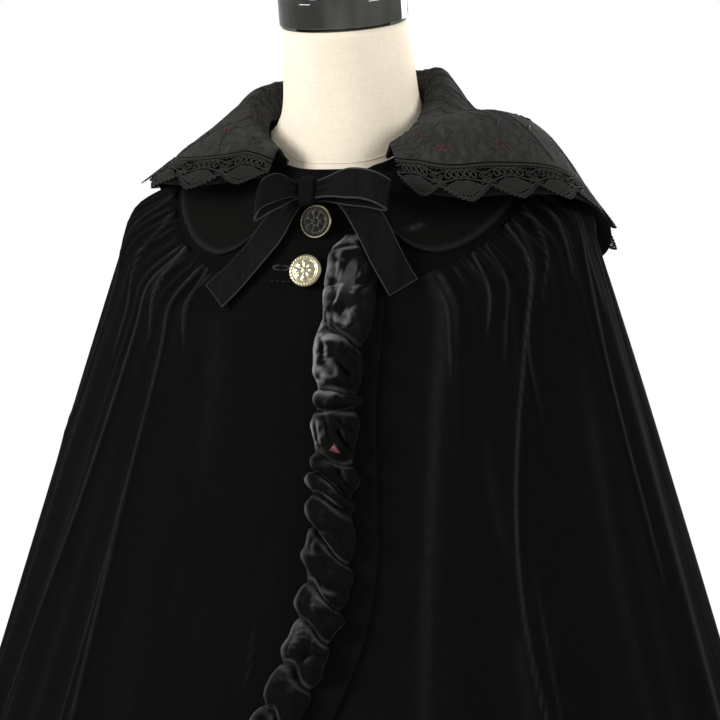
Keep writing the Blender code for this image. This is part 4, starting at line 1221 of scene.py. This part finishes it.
def berry_rings():
    """Small rings of red thread, in clusters."""
    turn = full_turn(9)
    groups = []
    for middle_u, middle_w in RED_CLUSTERS:
        for k in range(BERRIES):
            away = BERRY_APART * (k > 0) * (0.7 + 0.5 * uneven(k, middle_u * 50))
            u = middle_u + (away * math.cos(1.05 * k) + BERRY_RADIUS * np.cos(turn)) / COLLAR_SPAN[0]
            w = middle_w + (away * math.sin(1.05 * k) + BERRY_RADIUS * np.sin(turn)) / COLLAR_SPAN[1]
            groups.append(tubes(*on_collar(u[None], w[None], 0.0004), BERRY_THREAD, True))
    return groups


def embroidery():
    """Leafy stems in dark thread, with clusters of red berries."""
    vines = make("collar_vines", *joined(stems_and_leaves()), (VINE_THREAD,))
    berries = make("collar_berries", *joined(berry_rings()), (RED_THREAD,))
    return vines, berries


def lace_sheet():
    """Grid of the lace's middle: shares along the collar's edge, and depths from the lace's top."""
    u_lines = np.linspace(0.0, 1.0, LACE_COLUMNS * LACE_REPEATS + 1)
    w_lines = np.linspace(0.0, LACE_END, LACE_ROWS + 1)
    angle = edge_angle(u_lines)
    depth = lace_depth(u_lines)
    step = np.stack([fall_step_above(angle, depth * (1 - LACE_HANG - level)) for level in w_lines], 1)
    across = np.repeat(angle[:, None], len(w_lines), 1)
    outward = fall_normal(across, step)
    GRIDS["black_lace"] = (u_lines, w_lines, fall_section(across, step) + outward * LACE_OUT, outward)


def lace_lines(lines):
    """Paths of one repeat, as places across and down, laid on every repeat."""
    middle = np.arange(LACE_REPEATS)[:, None, None] + 0.5
    u = ((middle + lines[None, ..., 0]) / LACE_REPEATS).reshape(-1, lines.shape[1])
    w = np.repeat(lines[None, ..., 1], LACE_REPEATS, 0).reshape(-1, lines.shape[1])
    return on_grid("black_lace", np.clip(u, 0.0, 1.0), w, np.zeros(u.shape))


def lace_rings(middles, wide, tall, steps):
    turn = full_turn(steps)
    ring = np.stack((wide * np.cos(turn), tall * np.sin(turn)), -1)
    return lace_lines(np.array(middles)[:, None, :] + ring[None])


def fan_edge(x, reach):
    """Depth of a fan's lower line at a place across the repeat."""
    return FAN_VALLEY + (reach - FAN_VALLEY) * np.clip(1 - (np.abs(x) / 0.5) ** 1.25, 0.0, None)


def fan_depth(x, share):
    """Depth at a share of the way from a fan's top to its inner line."""
    return between(FAN_TOP, fan_edge(x, FAN_INNER), share)


def lace_header():
    """Cords along the lace and the rings between them."""
    x = np.linspace(-0.5, 0.5, 29)
    wave = 0.018 * np.sin(12 * math.pi * x)
    depths = (0.030 + wave, 0.030 - wave, 0.125 + 0.15 * np.abs(2 * x) ** 3,
              0.400 - 0.065 * np.cos(2 * math.pi * x), fan_edge(x, FAN_LOW))
    cords = np.stack([np.stack((x, depth), -1) for depth in depths])
    short = np.linspace(-1.0, 1.0, 9)
    valley = np.stack([np.stack((0.5 + 0.16 * short, low + 0.05 * short ** 2), -1) for low in (0.415, 0.475)])
    crown = [(place, 0.262 - 0.035 * math.cos(6.0 * place)) for place in (-0.26, -0.13, 0.0, 0.13, 0.26)]
    header = [(place / 9.0, 0.085) for place in range(-4, 5)]
    joins = [(0.40, 0.30), (0.50, 0.24), (0.60, 0.30), (0.45, 0.36), (0.55, 0.36)]
    return [
        tubes(*lace_lines(cords), 0.00062),
        tubes(*lace_lines(valley), 0.00055),
        tubes(*lace_rings(crown, 0.050, 0.082, 12), 0.00070, True),
        tubes(*lace_rings(header, 0.038, 0.036, 8), 0.00048, True, 4),
        tubes(*lace_rings(joins, 0.036, 0.036, 8), 0.00050, True, 4),
    ]


def lace_fan():
    """Looped edge, ladder, ribs and arcs of each fan."""
    places = np.linspace(-0.47, 0.47, 15)
    loops = np.stack((places, fan_edge(places, FAN_LOW) + 0.052 + 0.012 * np.cos(3 * places)), -1)
    ladder = np.linspace(-0.40, 0.40, 13)
    upper = np.stack((ladder * 0.94, fan_edge(ladder, FAN_INNER) - 0.01), -1)
    rungs = np.stack((upper, np.stack((ladder, fan_edge(ladder, FAN_LOW)), -1)), 1)
    t = np.linspace(0.0, 1.0, 5)
    spokes = np.linspace(-0.36, 0.36, 11)
    ribs = np.stack([np.stack((place * (0.30 + 0.70 * t), fan_depth(place, t)), -1) for place in spokes])
    arc = np.linspace(-1.0, 1.0, 9)
    rows = ((0.24, 0.55), (0.36, 1.0))
    arcs = np.stack([np.stack((reach * arc, fan_depth(reach * arc, share)), -1) for reach, share in rows])
    return [
        tubes(*lace_rings(loops, 0.026, 0.030, 8), 0.00046, True, 4),
        tubes(*lace_lines(rungs), 0.00045, sides=4),
        tubes(*lace_lines(ribs), 0.00062, sides=4),
        tubes(*lace_lines(arcs), 0.00055, sides=4),
    ]


def lace():
    """Guipure edging: a header of ringed holes over ribbed fans with a looped edge."""
    lace_sheet()
    threads = make("lace_threads", *joined(lace_header() + lace_fan()), (LACE_THREAD,))
    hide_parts("lace_edging")
    fans = make("lace_fans", *fan_plates(), (LACE_GROUND,))


def fan_plates():
    """Dense cloth-stitch ground of each fan, a thin plate between its ribs."""
    across = np.linspace(-0.38, 0.38, 15)
    level = np.linspace(0.0, 1.0, 6)
    top = 0.395 + 0.26 * (np.abs(across) / 0.42) ** 2.2
    low = np.maximum(fan_edge(across, FAN_INNER), top + 0.01)
    middle = np.arange(LACE_REPEATS)[:, None, None] + 0.5
    u = np.repeat((middle + across[None, :, None]) / LACE_REPEATS, len(level), 2)
    w = np.repeat((top[:, None] + (low - top)[:, None] * level)[None], LACE_REPEATS, 0)
    columns, rows = len(across), len(level)
    size = columns * rows
    points = [on_grid("black_lace", u, w, np.full(u.shape, out))[0].reshape(-1, 3) for out in (PLATE, -PLATE)]
    faces = [grid_faces(columns, rows, k * size, k < LACE_REPEATS) for k in range(2 * LACE_REPEATS)]
    rim, after = grid_rim(columns, rows)
    for first in range(0, LACE_REPEATS * size, size):
        second = first + LACE_REPEATS * size
        faces.append(np.stack((after + first, after + second, rim + second, rim + first), -1))
    return np.concatenate(points), np.concatenate(faces)


# Sewing

def sewn(name, x, fall, radius):
    """Stitches on the yoke, along paths of x and fall."""
    paths = over_base(angle_at(x, fall), fall, THREAD_OUT)
    made = make(name, *tubes(*paths, radius), (SELVEDGE,))
    return made


def buttonhole():
    """Bound slit beside the lower button, with close stitches round it."""
    turn = full_turn(SLIT_STITCHES)
    side = np.sign(np.cos(turn)) * np.abs(np.cos(turn)) ** 0.6
    reach = SLIT_STITCH * np.linspace(0.0, 1.0, 4)
    x = SLIT_PLACE[0] + (SLIT_HALF[0] + reach) * side[:, None]
    fall = SLIT_PLACE[1] + (SLIT_HALF[1] + reach) * np.sin(turn)[:, None]
    return sewn("buttonhole_stitches", x, fall, SLIT_THREAD)


def seam_stitches():
    """Short hand stitches along the yoke seam at the centre front."""
    start = np.linspace(-0.038, 0.000, YOKE_STITCHES)
    x = start[:, None] + np.linspace(0.0, YOKE_STITCH, 5)
    return sewn("yoke_stitches", x, np.full(x.shape, YOKE_STITCH_FALL), YOKE_THREAD)


# Gathered strip, bow and buttons

def blot(x, y, salt):
    """Smooth uneven values from 0 to 1 over a plane."""
    i, j = np.floor(x), np.floor(y)
    s, t = ease(x - i), ease(y - j)
    low = uneven(i + 57.0 * j, salt) * (1 - s) + uneven(i + 1 + 57.0 * j, salt) * s
    high = uneven(i + 57.0 * (j + 1), salt) * (1 - s) + uneven(i + 1 + 57.0 * (j + 1), salt) * s
    return low * (1 - t) + high * t


def crumpled(x, y, rows):
    """Height of rounded folds with sharp creases between, at places in metres across and down the strip."""
    total = np.zeros(x.shape)
    for k, (lean, length, spacing, height) in enumerate(rows):
        cos, sin = math.cos(math.radians(lean)), math.sin(math.radians(lean))
        stray_x = x + CRUMPLE_WANDER * (blot(x / 0.017, y / 0.023, 30 + k) - 0.5)
        stray_y = y + CRUMPLE_WANDER * (blot(x / 0.019, y / 0.017, 40 + k) - 0.5)
        ahead = (stray_y * cos + stray_x * sin) / length
        aside = (stray_x * cos - stray_y * sin) / spacing
        total += height * ((2 * blot(ahead + 50.0, aside + 50.0, 50 + k) - 1) ** 2 + 0.006) ** 0.42
    return total


def strip_lines():
    """Lines of the strip's grid both ways, and the count of puffs above each line down."""
    puffs = len(DRAWS) - 1
    counts = []
    for k, height in enumerate(0.5 * np.diff(np.array(DRAWS), axis=0).sum(axis=1)):
        even = np.linspace(0.0, 1.0, max(10, int(height / PUFF_STEP)), endpoint=False)
        counts.append(k + 0.5 * even + 0.25 * (1 - np.cos(math.pi * even)))
    counts = np.append(np.concatenate(counts), puffs)[::-1]
    return (grid_lines(STRIP_COLUMNS, STRIP_SIZE[0]), 1 - counts / puffs), counts


def strip_puffs(share, count):
    """Place of each point of the strip within its puffs, whose drawn threads slant and wander."""
    puffs = len(DRAWS) - 1
    numbers = np.arange(puffs + 1)
    across = 2 * share - 1
    slide = ease(share)
    level = between(*[np.interp(count, numbers, column) for column in zip(*DRAWS)], slide)
    ends = np.clip(np.minimum(count, puffs - count), 0.0, 1.0)
    flat_top = ease((FLAT_TO - level) / FLAT_FADE)
    stray = (0.14 + 0.40 * flat_top) * (2 * blot(0.65 * across + 4.0, level / 0.019 + 4.0, 63) - 1)
    drawn_at = np.clip(count + stray * ends, 0.0, puffs)
    number = np.minimum(np.floor(drawn_at), puffs - 1)
    part = drawn_at - number
    tall = between(*[np.diff(column)[number.astype(int)] for column in zip(*DRAWS)], slide)
    bend = np.interp(count, numbers, DRAW_BEND * (uneven(numbers, 11) - 0.4))
    fall = level + bend * (1 - across ** 2) * ends
    fall = fall + PUFF_SAG * np.sin(math.pi * part) ** 2 * ease((part - 0.3) / 0.6) * ends
    puff = np.sin(math.pi * part ** 0.75) ** 0.85
    return Puffs(across, level, fall, part, number, puff, tall, flat_top)


def strip_half(at):
    """Half width of the strip, puckered at its sides and narrow at its top."""
    frill = FRILL * (blot(at.fall / FRILL_LENGTH + 20.0, at.across + 5.0, 61) - 0.5) * np.abs(at.across)
    half = STRIP_HALF * (0.76 + 0.29 * at.puff * (0.85 + 0.25 * uneven(at.number, 14))) + frill * at.puff
    half = half + (1.14 * STRIP_HALF - half) * 0.8 * at.flat_top
    return half * (0.50 + 0.50 * ease((at.fall - STRIP_TOP) / 0.014))


def strip_body(at):
    """Roundness of the strip across its width, from 0 at its sides to 1."""
    return np.clip(1 - at.across ** 2, 0.0, 1.0) ** 0.5


def strip_arch(at, x):
    """Height of the round puffs and of the crumpled folds on them."""
    grow = ease((at.fall - STRIP_TOP + 0.001) / 0.012)
    body = strip_body(at)
    size = (0.72 + 0.40 * uneven(at.number, 12)) * np.clip(at.tall / PUFF_TALL, 0.55, 1.15)
    drawn = 0.30 + 0.70 * at.puff
    round_puff = body * (PUFF_LOW + PUFF_HIGH * at.puff * size) * (1 - 0.75 * at.flat_top)
    creased = crumpled(x, at.fall, CRUMPLES) + at.flat_top * crumpled(x, at.fall, TOP_CRUMPLES)
    creased = creased * body ** 0.6 * (drawn + (0.62 - drawn) * 0.75 * at.flat_top)
    creased = creased * (1 - 0.35 * at.flat_top) * (1 - 0.30 * at.flat_top * ease(at.across / 0.6))
    return grow * (round_puff + creased)


def strip_painted_sheen(at, x, arch):
    """Painted sheen and highlights: on folds that face the light, along the puffs' lips, in patches of
    flattened pile, and down one side.
    """
    facing = LIGHT_SIDE[0] * np.gradient(arch, axis=0) / np.gradient(x, axis=0)
    facing = facing + LIGHT_SIDE[1] * np.gradient(arch, axis=1) / np.gradient(at.fall, axis=1)
    rim = bell(at.across, -0.90, 0.10) * at.puff * (0.20 + 0.60 * uneven(at.number, 16))
    patches = 1.9 * blot(x / 0.014 + 9.0, at.fall / 0.022 + 9.0, 60) - 0.35 + 0.45 * at.flat_top
    bright = 0.22 + 0.85 * ease((0.20 - at.fall) / 0.12)
    bright = bright + BRIGHT_PUFF * bell(at.level, BRIGHT_FALL, BRIGHT_SPREAD)
    patches = np.clip(patches, 0.0, 1.2) * bright * ease((0.95 - at.across) / 1.1)
    lip = bell(at.part, 0.93, 0.035) + 0.7 * bell(at.part, 0.10, 0.04)
    lip = 0.42 * lip * strip_body(at) * (1 - at.flat_top) * blot(x / 0.012 + 3.0, at.fall / 0.030 + 3.0, 62)
    # Painted sheen in patches of flattened pile at the strip's top
    crushed_sheen = ease((blot(x / 0.0070 + 7.0, at.fall / 0.0100 + 7.0, 64) - 0.42) / 0.16)
    crushed_sheen = crushed_sheen * ease((0.9 - at.across) / 0.8)
    crushed_sheen = 0.24 * at.flat_top * crushed_sheen * (0.08 + 0.92 * ease((0.014 - at.level) / 0.014))
    painted_sheen = 0.5 * rim + lip + crushed_sheen + patches * np.clip(facing - 0.10, 0.0, 0.9) ** 1.1
    return np.clip(painted_sheen, 0.0, 1.0)


def ruche():
    """Gathered strip: uneven puffs between slanting drawn threads, with small folds and puckered sides."""
    lines, counts = strip_lines()
    at = strip_puffs(*np.meshgrid(lines[0], counts, indexing="ij"))
    x = at.across * strip_half(at)
    angle = angle_at(edge_x(at.fall, 0) + TOP_ASIDE * at.flat_top + x, at.fall)
    arch = strip_arch(at, x)
    points = body_surface(angle, at.fall, SEAM + VELVET + arch)
    # Painted sheen and highlights of the strip, read by its velvet look
    painted_sheen = strip_painted_sheen(at, x, arch)
    made = shell("velvet_ruche", lines, STRIP_SIZE, STRIP_WALL, points, (PUFF_VELVET,), painted_sheen)
    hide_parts("front_ruche")
    row = int(np.argmin(np.abs(at.fall[len(lines[0]) // 2] - PEEK_PLACE[1])))
    lining_peek(PEEK_PLACE[0], lines[1][row])


def lining_peek(u_place, w_place):
    """Corner of the red lining that shows between two puffs."""
    lines, share, level = cloth_grid(PEEK_GRID)
    across = (share - 0.5) * PEEK_GRID.size[0] / (2 * STRIP_HALF) * (1 - PEEK_TAPER * level)
    upward = (level - 0.5) * PEEK_GRID.size[1] / (DRAWS[-1].lap_side - DRAWS[0].lap_side)
    points = on_grid("velvet_ruche", u_place + across, w_place + upward, np.full(across.shape, PEEK_OUT))[0]
    made = shell("lining_peek", lines, PEEK_GRID.size, PEEK_WALL, points, (LINING,))
    return made


def at_bow(aside, up, out):
    """Points by their distances from the knot's centre along the bow's own axes."""
    return KNOT + aside[..., None] * ASIDE + up[..., None] * BOW_UP + out[..., None] * BOW_OUT


def pleats(w, height):
    """Height of the ribbon's pleats at a share of its width."""
    return height * np.cos(2 * math.pi * PLEATS * (w - 0.5))


def loop_place(side, length, droop, rise):
    """Places on a loop of the bow, by shares along and across its ribbon."""
    def place(u, w):
        reach, lift = np.moveaxis(along(LOOP_PATH, u), -1, 0)
        width = between(LOOP_NECK, RIBBON_WIDTH, ease(reach / 0.55))
        up = rise * reach - droop * reach ** 2 + (w - 0.5) * width
        pleat = pleats(w, LOOP_PLEAT) * (1 - ease(reach / 0.7))
        lift = lift + LOOP_STAND * ease(reach) + pleat * np.where(u < 0.5, -1.0, 1.0)
        return at_bow(side * (LOOP_START + reach * length), up, lift)
    return place


def tail_centre(rows, key):
    x, fall, out = np.moveaxis(along(rows, key), -1, 0)
    return over_base(angle_at(x, fall), fall, out)


def tail_place(rows):
    """Places on a tail of the bow, by shares along and across its ribbon."""
    def place(u, w):
        centre, outward = tail_centre(rows, u)
        ahead = unit(tail_centre(rows, u + 0.01)[0] - tail_centre(rows, u - 0.01)[0])
        aside = unit(np.cross(outward, ahead))
        width = between(TAIL_NECK, RIBBON_WIDTH, ease(u / 0.4))
        ripple = TAIL_RIPPLE * np.sin(2 * math.pi * (1.4 * u + 0.5 * w))
        pleat = pleats(w, TAIL_PLEAT) * (1 - ease(u / 0.45))
        return centre + aside * ((w - 0.5) * width)[..., None] + outward * (ripple + pleat)[..., None]
    return place


def ribbon(name, node, place, length):
    """Length of velvet ribbon with a thread of selvedge along each edge, and across a tail's end."""
    grid = Grid(RIBBON_COLUMNS, RIBBON_ROWS, (length, RIBBON_WIDTH))
    lines, share, level = cloth_grid(grid)
    made = shell(name, lines, grid.size, RIBBON, place(share, level), (RIBBON_VELVET,))
    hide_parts(node)
    along_edge = np.linspace(0.0, 1.0, EDGE_STEPS)
    edges = [(along_edge, np.full(EDGE_STEPS, side)) for side in (EDGE_INSET, 1 - EDGE_INSET)]
    if "tail" in name:
        edges.append((np.full(EDGE_STEPS, 0.990), between(EDGE_INSET, 1 - EDGE_INSET, along_edge)))
    u, w = np.moveaxis(np.array(edges), 1, 0)
    paths = on_grid(name, u, w, np.full(u.shape, -0.5 * RIBBON))
    edge = make(name + "_edge", *tubes(*paths, EDGE_RADIUS, sides=8, flat=0.95), (SELVEDGE,))


def bow_knot():
    """Crossing of the ribbon over the bow's middle, drawn into upright pleats."""
    turn = full_turn(72)
    level = np.linspace(0.03, math.pi - 0.03, 48)[:, None]
    sides = (np.cos(turn) * np.sin(level), np.sin(turn) * np.sin(level), np.cos(level))
    ball = np.stack(np.broadcast_arrays(*sides), -1)
    x, y, z = np.moveaxis(np.sign(ball) * np.abs(ball) ** 0.62, -1, 0)
    pinch = 1.0 - 0.14 * (1 - z * z)
    pleat = 1.0 + 0.05 * np.cos(11 * x) * (1 - z ** 4)
    rings = at_bow(x * KNOT_SIZE[0] * pinch, z * KNOT_SIZE[2], -y * KNOT_SIZE[1] * pinch * pleat)
    made = stack("velvet_knot", rings, (RIBBON_VELVET,))
    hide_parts("bow_knot")
    return made


def bow():
    for row in LOOPS:
        ribbon(row.name, row.node, loop_place(row.side, row.length, row.droop, row.rise), row.cloth)
    ribbon("ribbon_tail_left", "bow_tail_left", tail_place(TAIL_LEFT), TAIL_CLOTH)
    ribbon("ribbon_tail_right", "bow_tail_right", tail_place(TAIL_RIGHT), TAIL_CLOTH)
    bow_knot()


def raised(radius, row):
    """Height of a round line of relief."""
    return row.height * bell(radius, row.radius, row.spread)


def button_rings():
    """Rings of a button that stands at the origin, close enough for its relief."""
    rings = turned_rings(BUTTON_OUTLINE, BUTTON_SIDES)
    fine = []
    for low, high in zip(rings[:-1], rings[1:]):
        steps = max(1, int(np.linalg.norm(high[0] - low[0]) / BUTTON_STEP))
        fine += [low + (high - low) * i / steps for i in range(steps)]
    return np.stack(fine + [rings[-1]])


def button(row, name, face_look):
    """Cast shank button: a rosette in two rings under a beaded rim."""
    rings = button_rings()
    radius = np.hypot(rings[..., 0], rings[..., 1])
    turn = np.arctan2(rings[..., 1], rings[..., 0])
    petal = np.cos(4 * turn) ** 2 * raised(radius, PETALS)
    boss = BOSS_HEIGHT * np.exp(-(radius / BOSS_RADIUS) ** 4)
    bead = np.abs(np.cos(15 * turn)) * raised(radius, BEADS)
    rise = petal + boss + bead + raised(radius, FACE_RING)
    rings[..., 2] += np.where(rings[..., 2] > FACE_FROM, rise, 0.0)
    fall = np.array([row.fall])
    out = SHANK_RADIUS * math.sin(math.radians(row.tip)) + 0.5 * SEAM
    place, outward = (rows[0] for rows in over_base(angle_at(np.array([row.x]), fall), fall, out))
    lean = math.acos(outward[2]) + math.radians(row.tip)
    yaw = math.atan2(outward[0], -outward[1]) + math.radians(row.turn)
    made = stack(name, leaned(rings, lean, yaw, place), (GOLD, face_look))
    middle = 0.5 * (radius[:-1] + radius[1:])
    inside = (middle < FACE_RADIUS) & (rings[:-1, :, 2] > FACE_FROM)
    face_index = np.append(inside.ravel(), (True, True)).astype(np.int32)
    made.data.polygons.foreach_set("material_index", face_index)
    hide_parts(row.node)
    return made


# Dress form

def form_rings(angle):
    """Rings of the form from the bottom up to the neck."""
    rings = [ring_point(np.repeat(np.array([row], dtype=float), len(angle), 0), angle) for row in TRUNK]
    front = ease((np.cos(angle) - 0.35) / 0.4)
    sink = VELVET + FORM_GAP + (LAP + FORM_GAP) * front
    for fall in FORM_FALLS:
        falls = np.full(angle.shape, fall)
        rings.append(over_base(angle, falls, -sink)[0])
    for radius, y, z, tilt in NECK_RINGS:
        reach = -radius * np.cos(angle)
        height = z + reach * math.tan(math.radians(tilt))
        rings.append(np.stack((radius * np.sin(angle), y + reach, height), -1))
    return np.stack(rings)


def form_torso():
    """Linen-covered body and neck, with the seam round the base of the neck."""
    angle = full_turn(TORSO_SIDES)
    rings = form_rings(angle)
    length = np.cumsum(np.linalg.norm(np.diff(rings, axis=0), axis=2), axis=0)
    keys = np.concatenate((np.zeros((1, len(angle))), length / length[-1]))

    def level(step):
        return np.stack([through(rings[..., k], keys, step) for k in range(3)], -1)

    steps = np.linspace(0.0, 1.0, TORSO_ROWS)
    made = stack("linen_torso", np.stack([level(np.full(angle.shape, step)) for step in steps]), (LINEN,))
    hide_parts("form_torso")
    neck = keys[len(TRUNK) + len(FORM_FALLS) - 1]
    above = level(neck + 0.012)
    outward = unit(np.cross(np.roll(above, -1, 0) - above, level(neck + 0.016) - above))
    paths = (above + outward * THREAD_OUT)[None]
    seam = make("neck_seam", *tubes(paths, outward[None], NECK_SEAM, True, 8), (SEAM_THREAD,))


def form_stand():
    y, z, tilt = NECK_RINGS[-1][1:]
    cap = leaned(turned_rings(CAP_OUTLINE, ROUND_SIDES), math.radians(tilt), 0.0, np.array((0.0, y, z)))
    foot = BASE_OUTLINE[0][1] + SEAM
    top = TRUNK[0].z_front - SEAM
    outline = ((0.0, top), (POLE_RADIUS, top), (POLE_RADIUS, foot), (0.0, foot))
    pole = turned_rings(outline, POLE_SIDES)
    pole = pole + np.array((0.0, POLE_Y, 0.0))
    base = turned_rings(BASE_OUTLINE, ROUND_SIDES)
    pieces = (
        ("gloss_cap", cap, "form_cap", GLOSS), ("steel_pole", pole, "form_pole", STEEL),
        ("steel_base", base, "form_base", STEEL),
    )
    for name, rings, node, look in pieces:
        made = stack(name, rings, (look,))
        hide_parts(node)


# Camera, light and floor

def studio():
    scene = bpy.context.scene
    scene.view_settings.view_transform = "Standard"
    scene.view_settings.look = "None"
    world = bpy.data.worlds.new("Studio")
    world.use_nodes = True
    nodes, links = world.node_tree.nodes, world.node_tree.links
    seen = nodes["Background"]
    seen.inputs["Color"].default_value = (1.0, 1.0, 1.0, 1.0)
    soft = nodes.new("ShaderNodeBackground")
    soft.inputs["Color"].default_value = (1.0, 1.0, 0.98, 1.0)
    soft.inputs["Strength"].default_value = SOFT_LIGHT
    either = nodes.new("ShaderNodeMixShader")
    links.new(nodes.new("ShaderNodeLightPath").outputs["Is Camera Ray"], either.inputs["Fac"])
    links.new(soft.outputs["Background"], either.inputs[1])
    links.new(seen.outputs["Background"], either.inputs[2])
    links.new(either.outputs["Shader"], nodes["World Output"].inputs["Surface"])
    scene.world = world
    for name, place, size, watts in LAMPS:
        lamp = bpy.data.lights.new(name, "AREA")
        lamp.size = size
        lamp.energy = watts
        holder = bpy.data.objects.new(name, lamp)
        holder.location = place
        holder.rotation_euler = (Vector(LAMP_AIM) - Vector(place)).to_track_quat("-Z", "Y").to_euler()
        scene.collection.objects.link(holder)
    camera = bpy.data.cameras.new("Camera")
    camera.lens = LENS
    camera.sensor_width = 36.0
    viewer = bpy.data.objects.new("Camera", camera)
    right = np.array((math.cos(VIEW_ANGLE), math.sin(VIEW_ANGLE), 0.0))
    back = np.array((math.sin(VIEW_ANGLE), -math.cos(VIEW_ANGLE), 0.0))
    viewer.location = right * VIEW_ASIDE + back * VIEW_DISTANCE + np.array((0.0, 0.0, VIEW_HEIGHT))
    viewer.rotation_euler = (math.radians(90.0), 0.0, VIEW_ANGLE)
    scene.collection.objects.link(viewer)
    scene.camera = viewer


def floor():
    bpy.ops.mesh.primitive_circle_add(vertices=96, radius=FLOOR_RADIUS, fill_type="NGON")
    made = bpy.context.object
    made.name = "floor"
    look = new_look("pale_floor", (0.90, 0.90, 0.89), 0.8)
    colour_from(look, blend_colours(look, noise(look, 3.0), (0.89, 0.89, 0.88), (0.92, 0.92, 0.91)))
    made.data.materials.append(look)


studio()
floor()
body_front(-1, "velvet_front_right", "front_right")
body_front(1, "velvet_front_left", "front_left")
body_back()
yoke_front(-1, "velvet_yoke_right", "yoke_right")
yoke_front(1, "velvet_yoke_left", "yoke_left")
yoke_back()
flat_collar(-1, "velvet_collar_right", "collar_right")
flat_collar(1, "velvet_collar_left", "collar_left")
fall_under()
fall_upper()
lace()
buttonhole()
seam_stitches()
ruche()
bow()
# The upper button's face gets the gold with the painted dark reflection
button(BUTTONS[0], "gold_button_upper", GOLD_PAINTED_DARK)
button(BUTTONS[1], "gold_button_lower", GOLD)
form_torso()
form_stand()
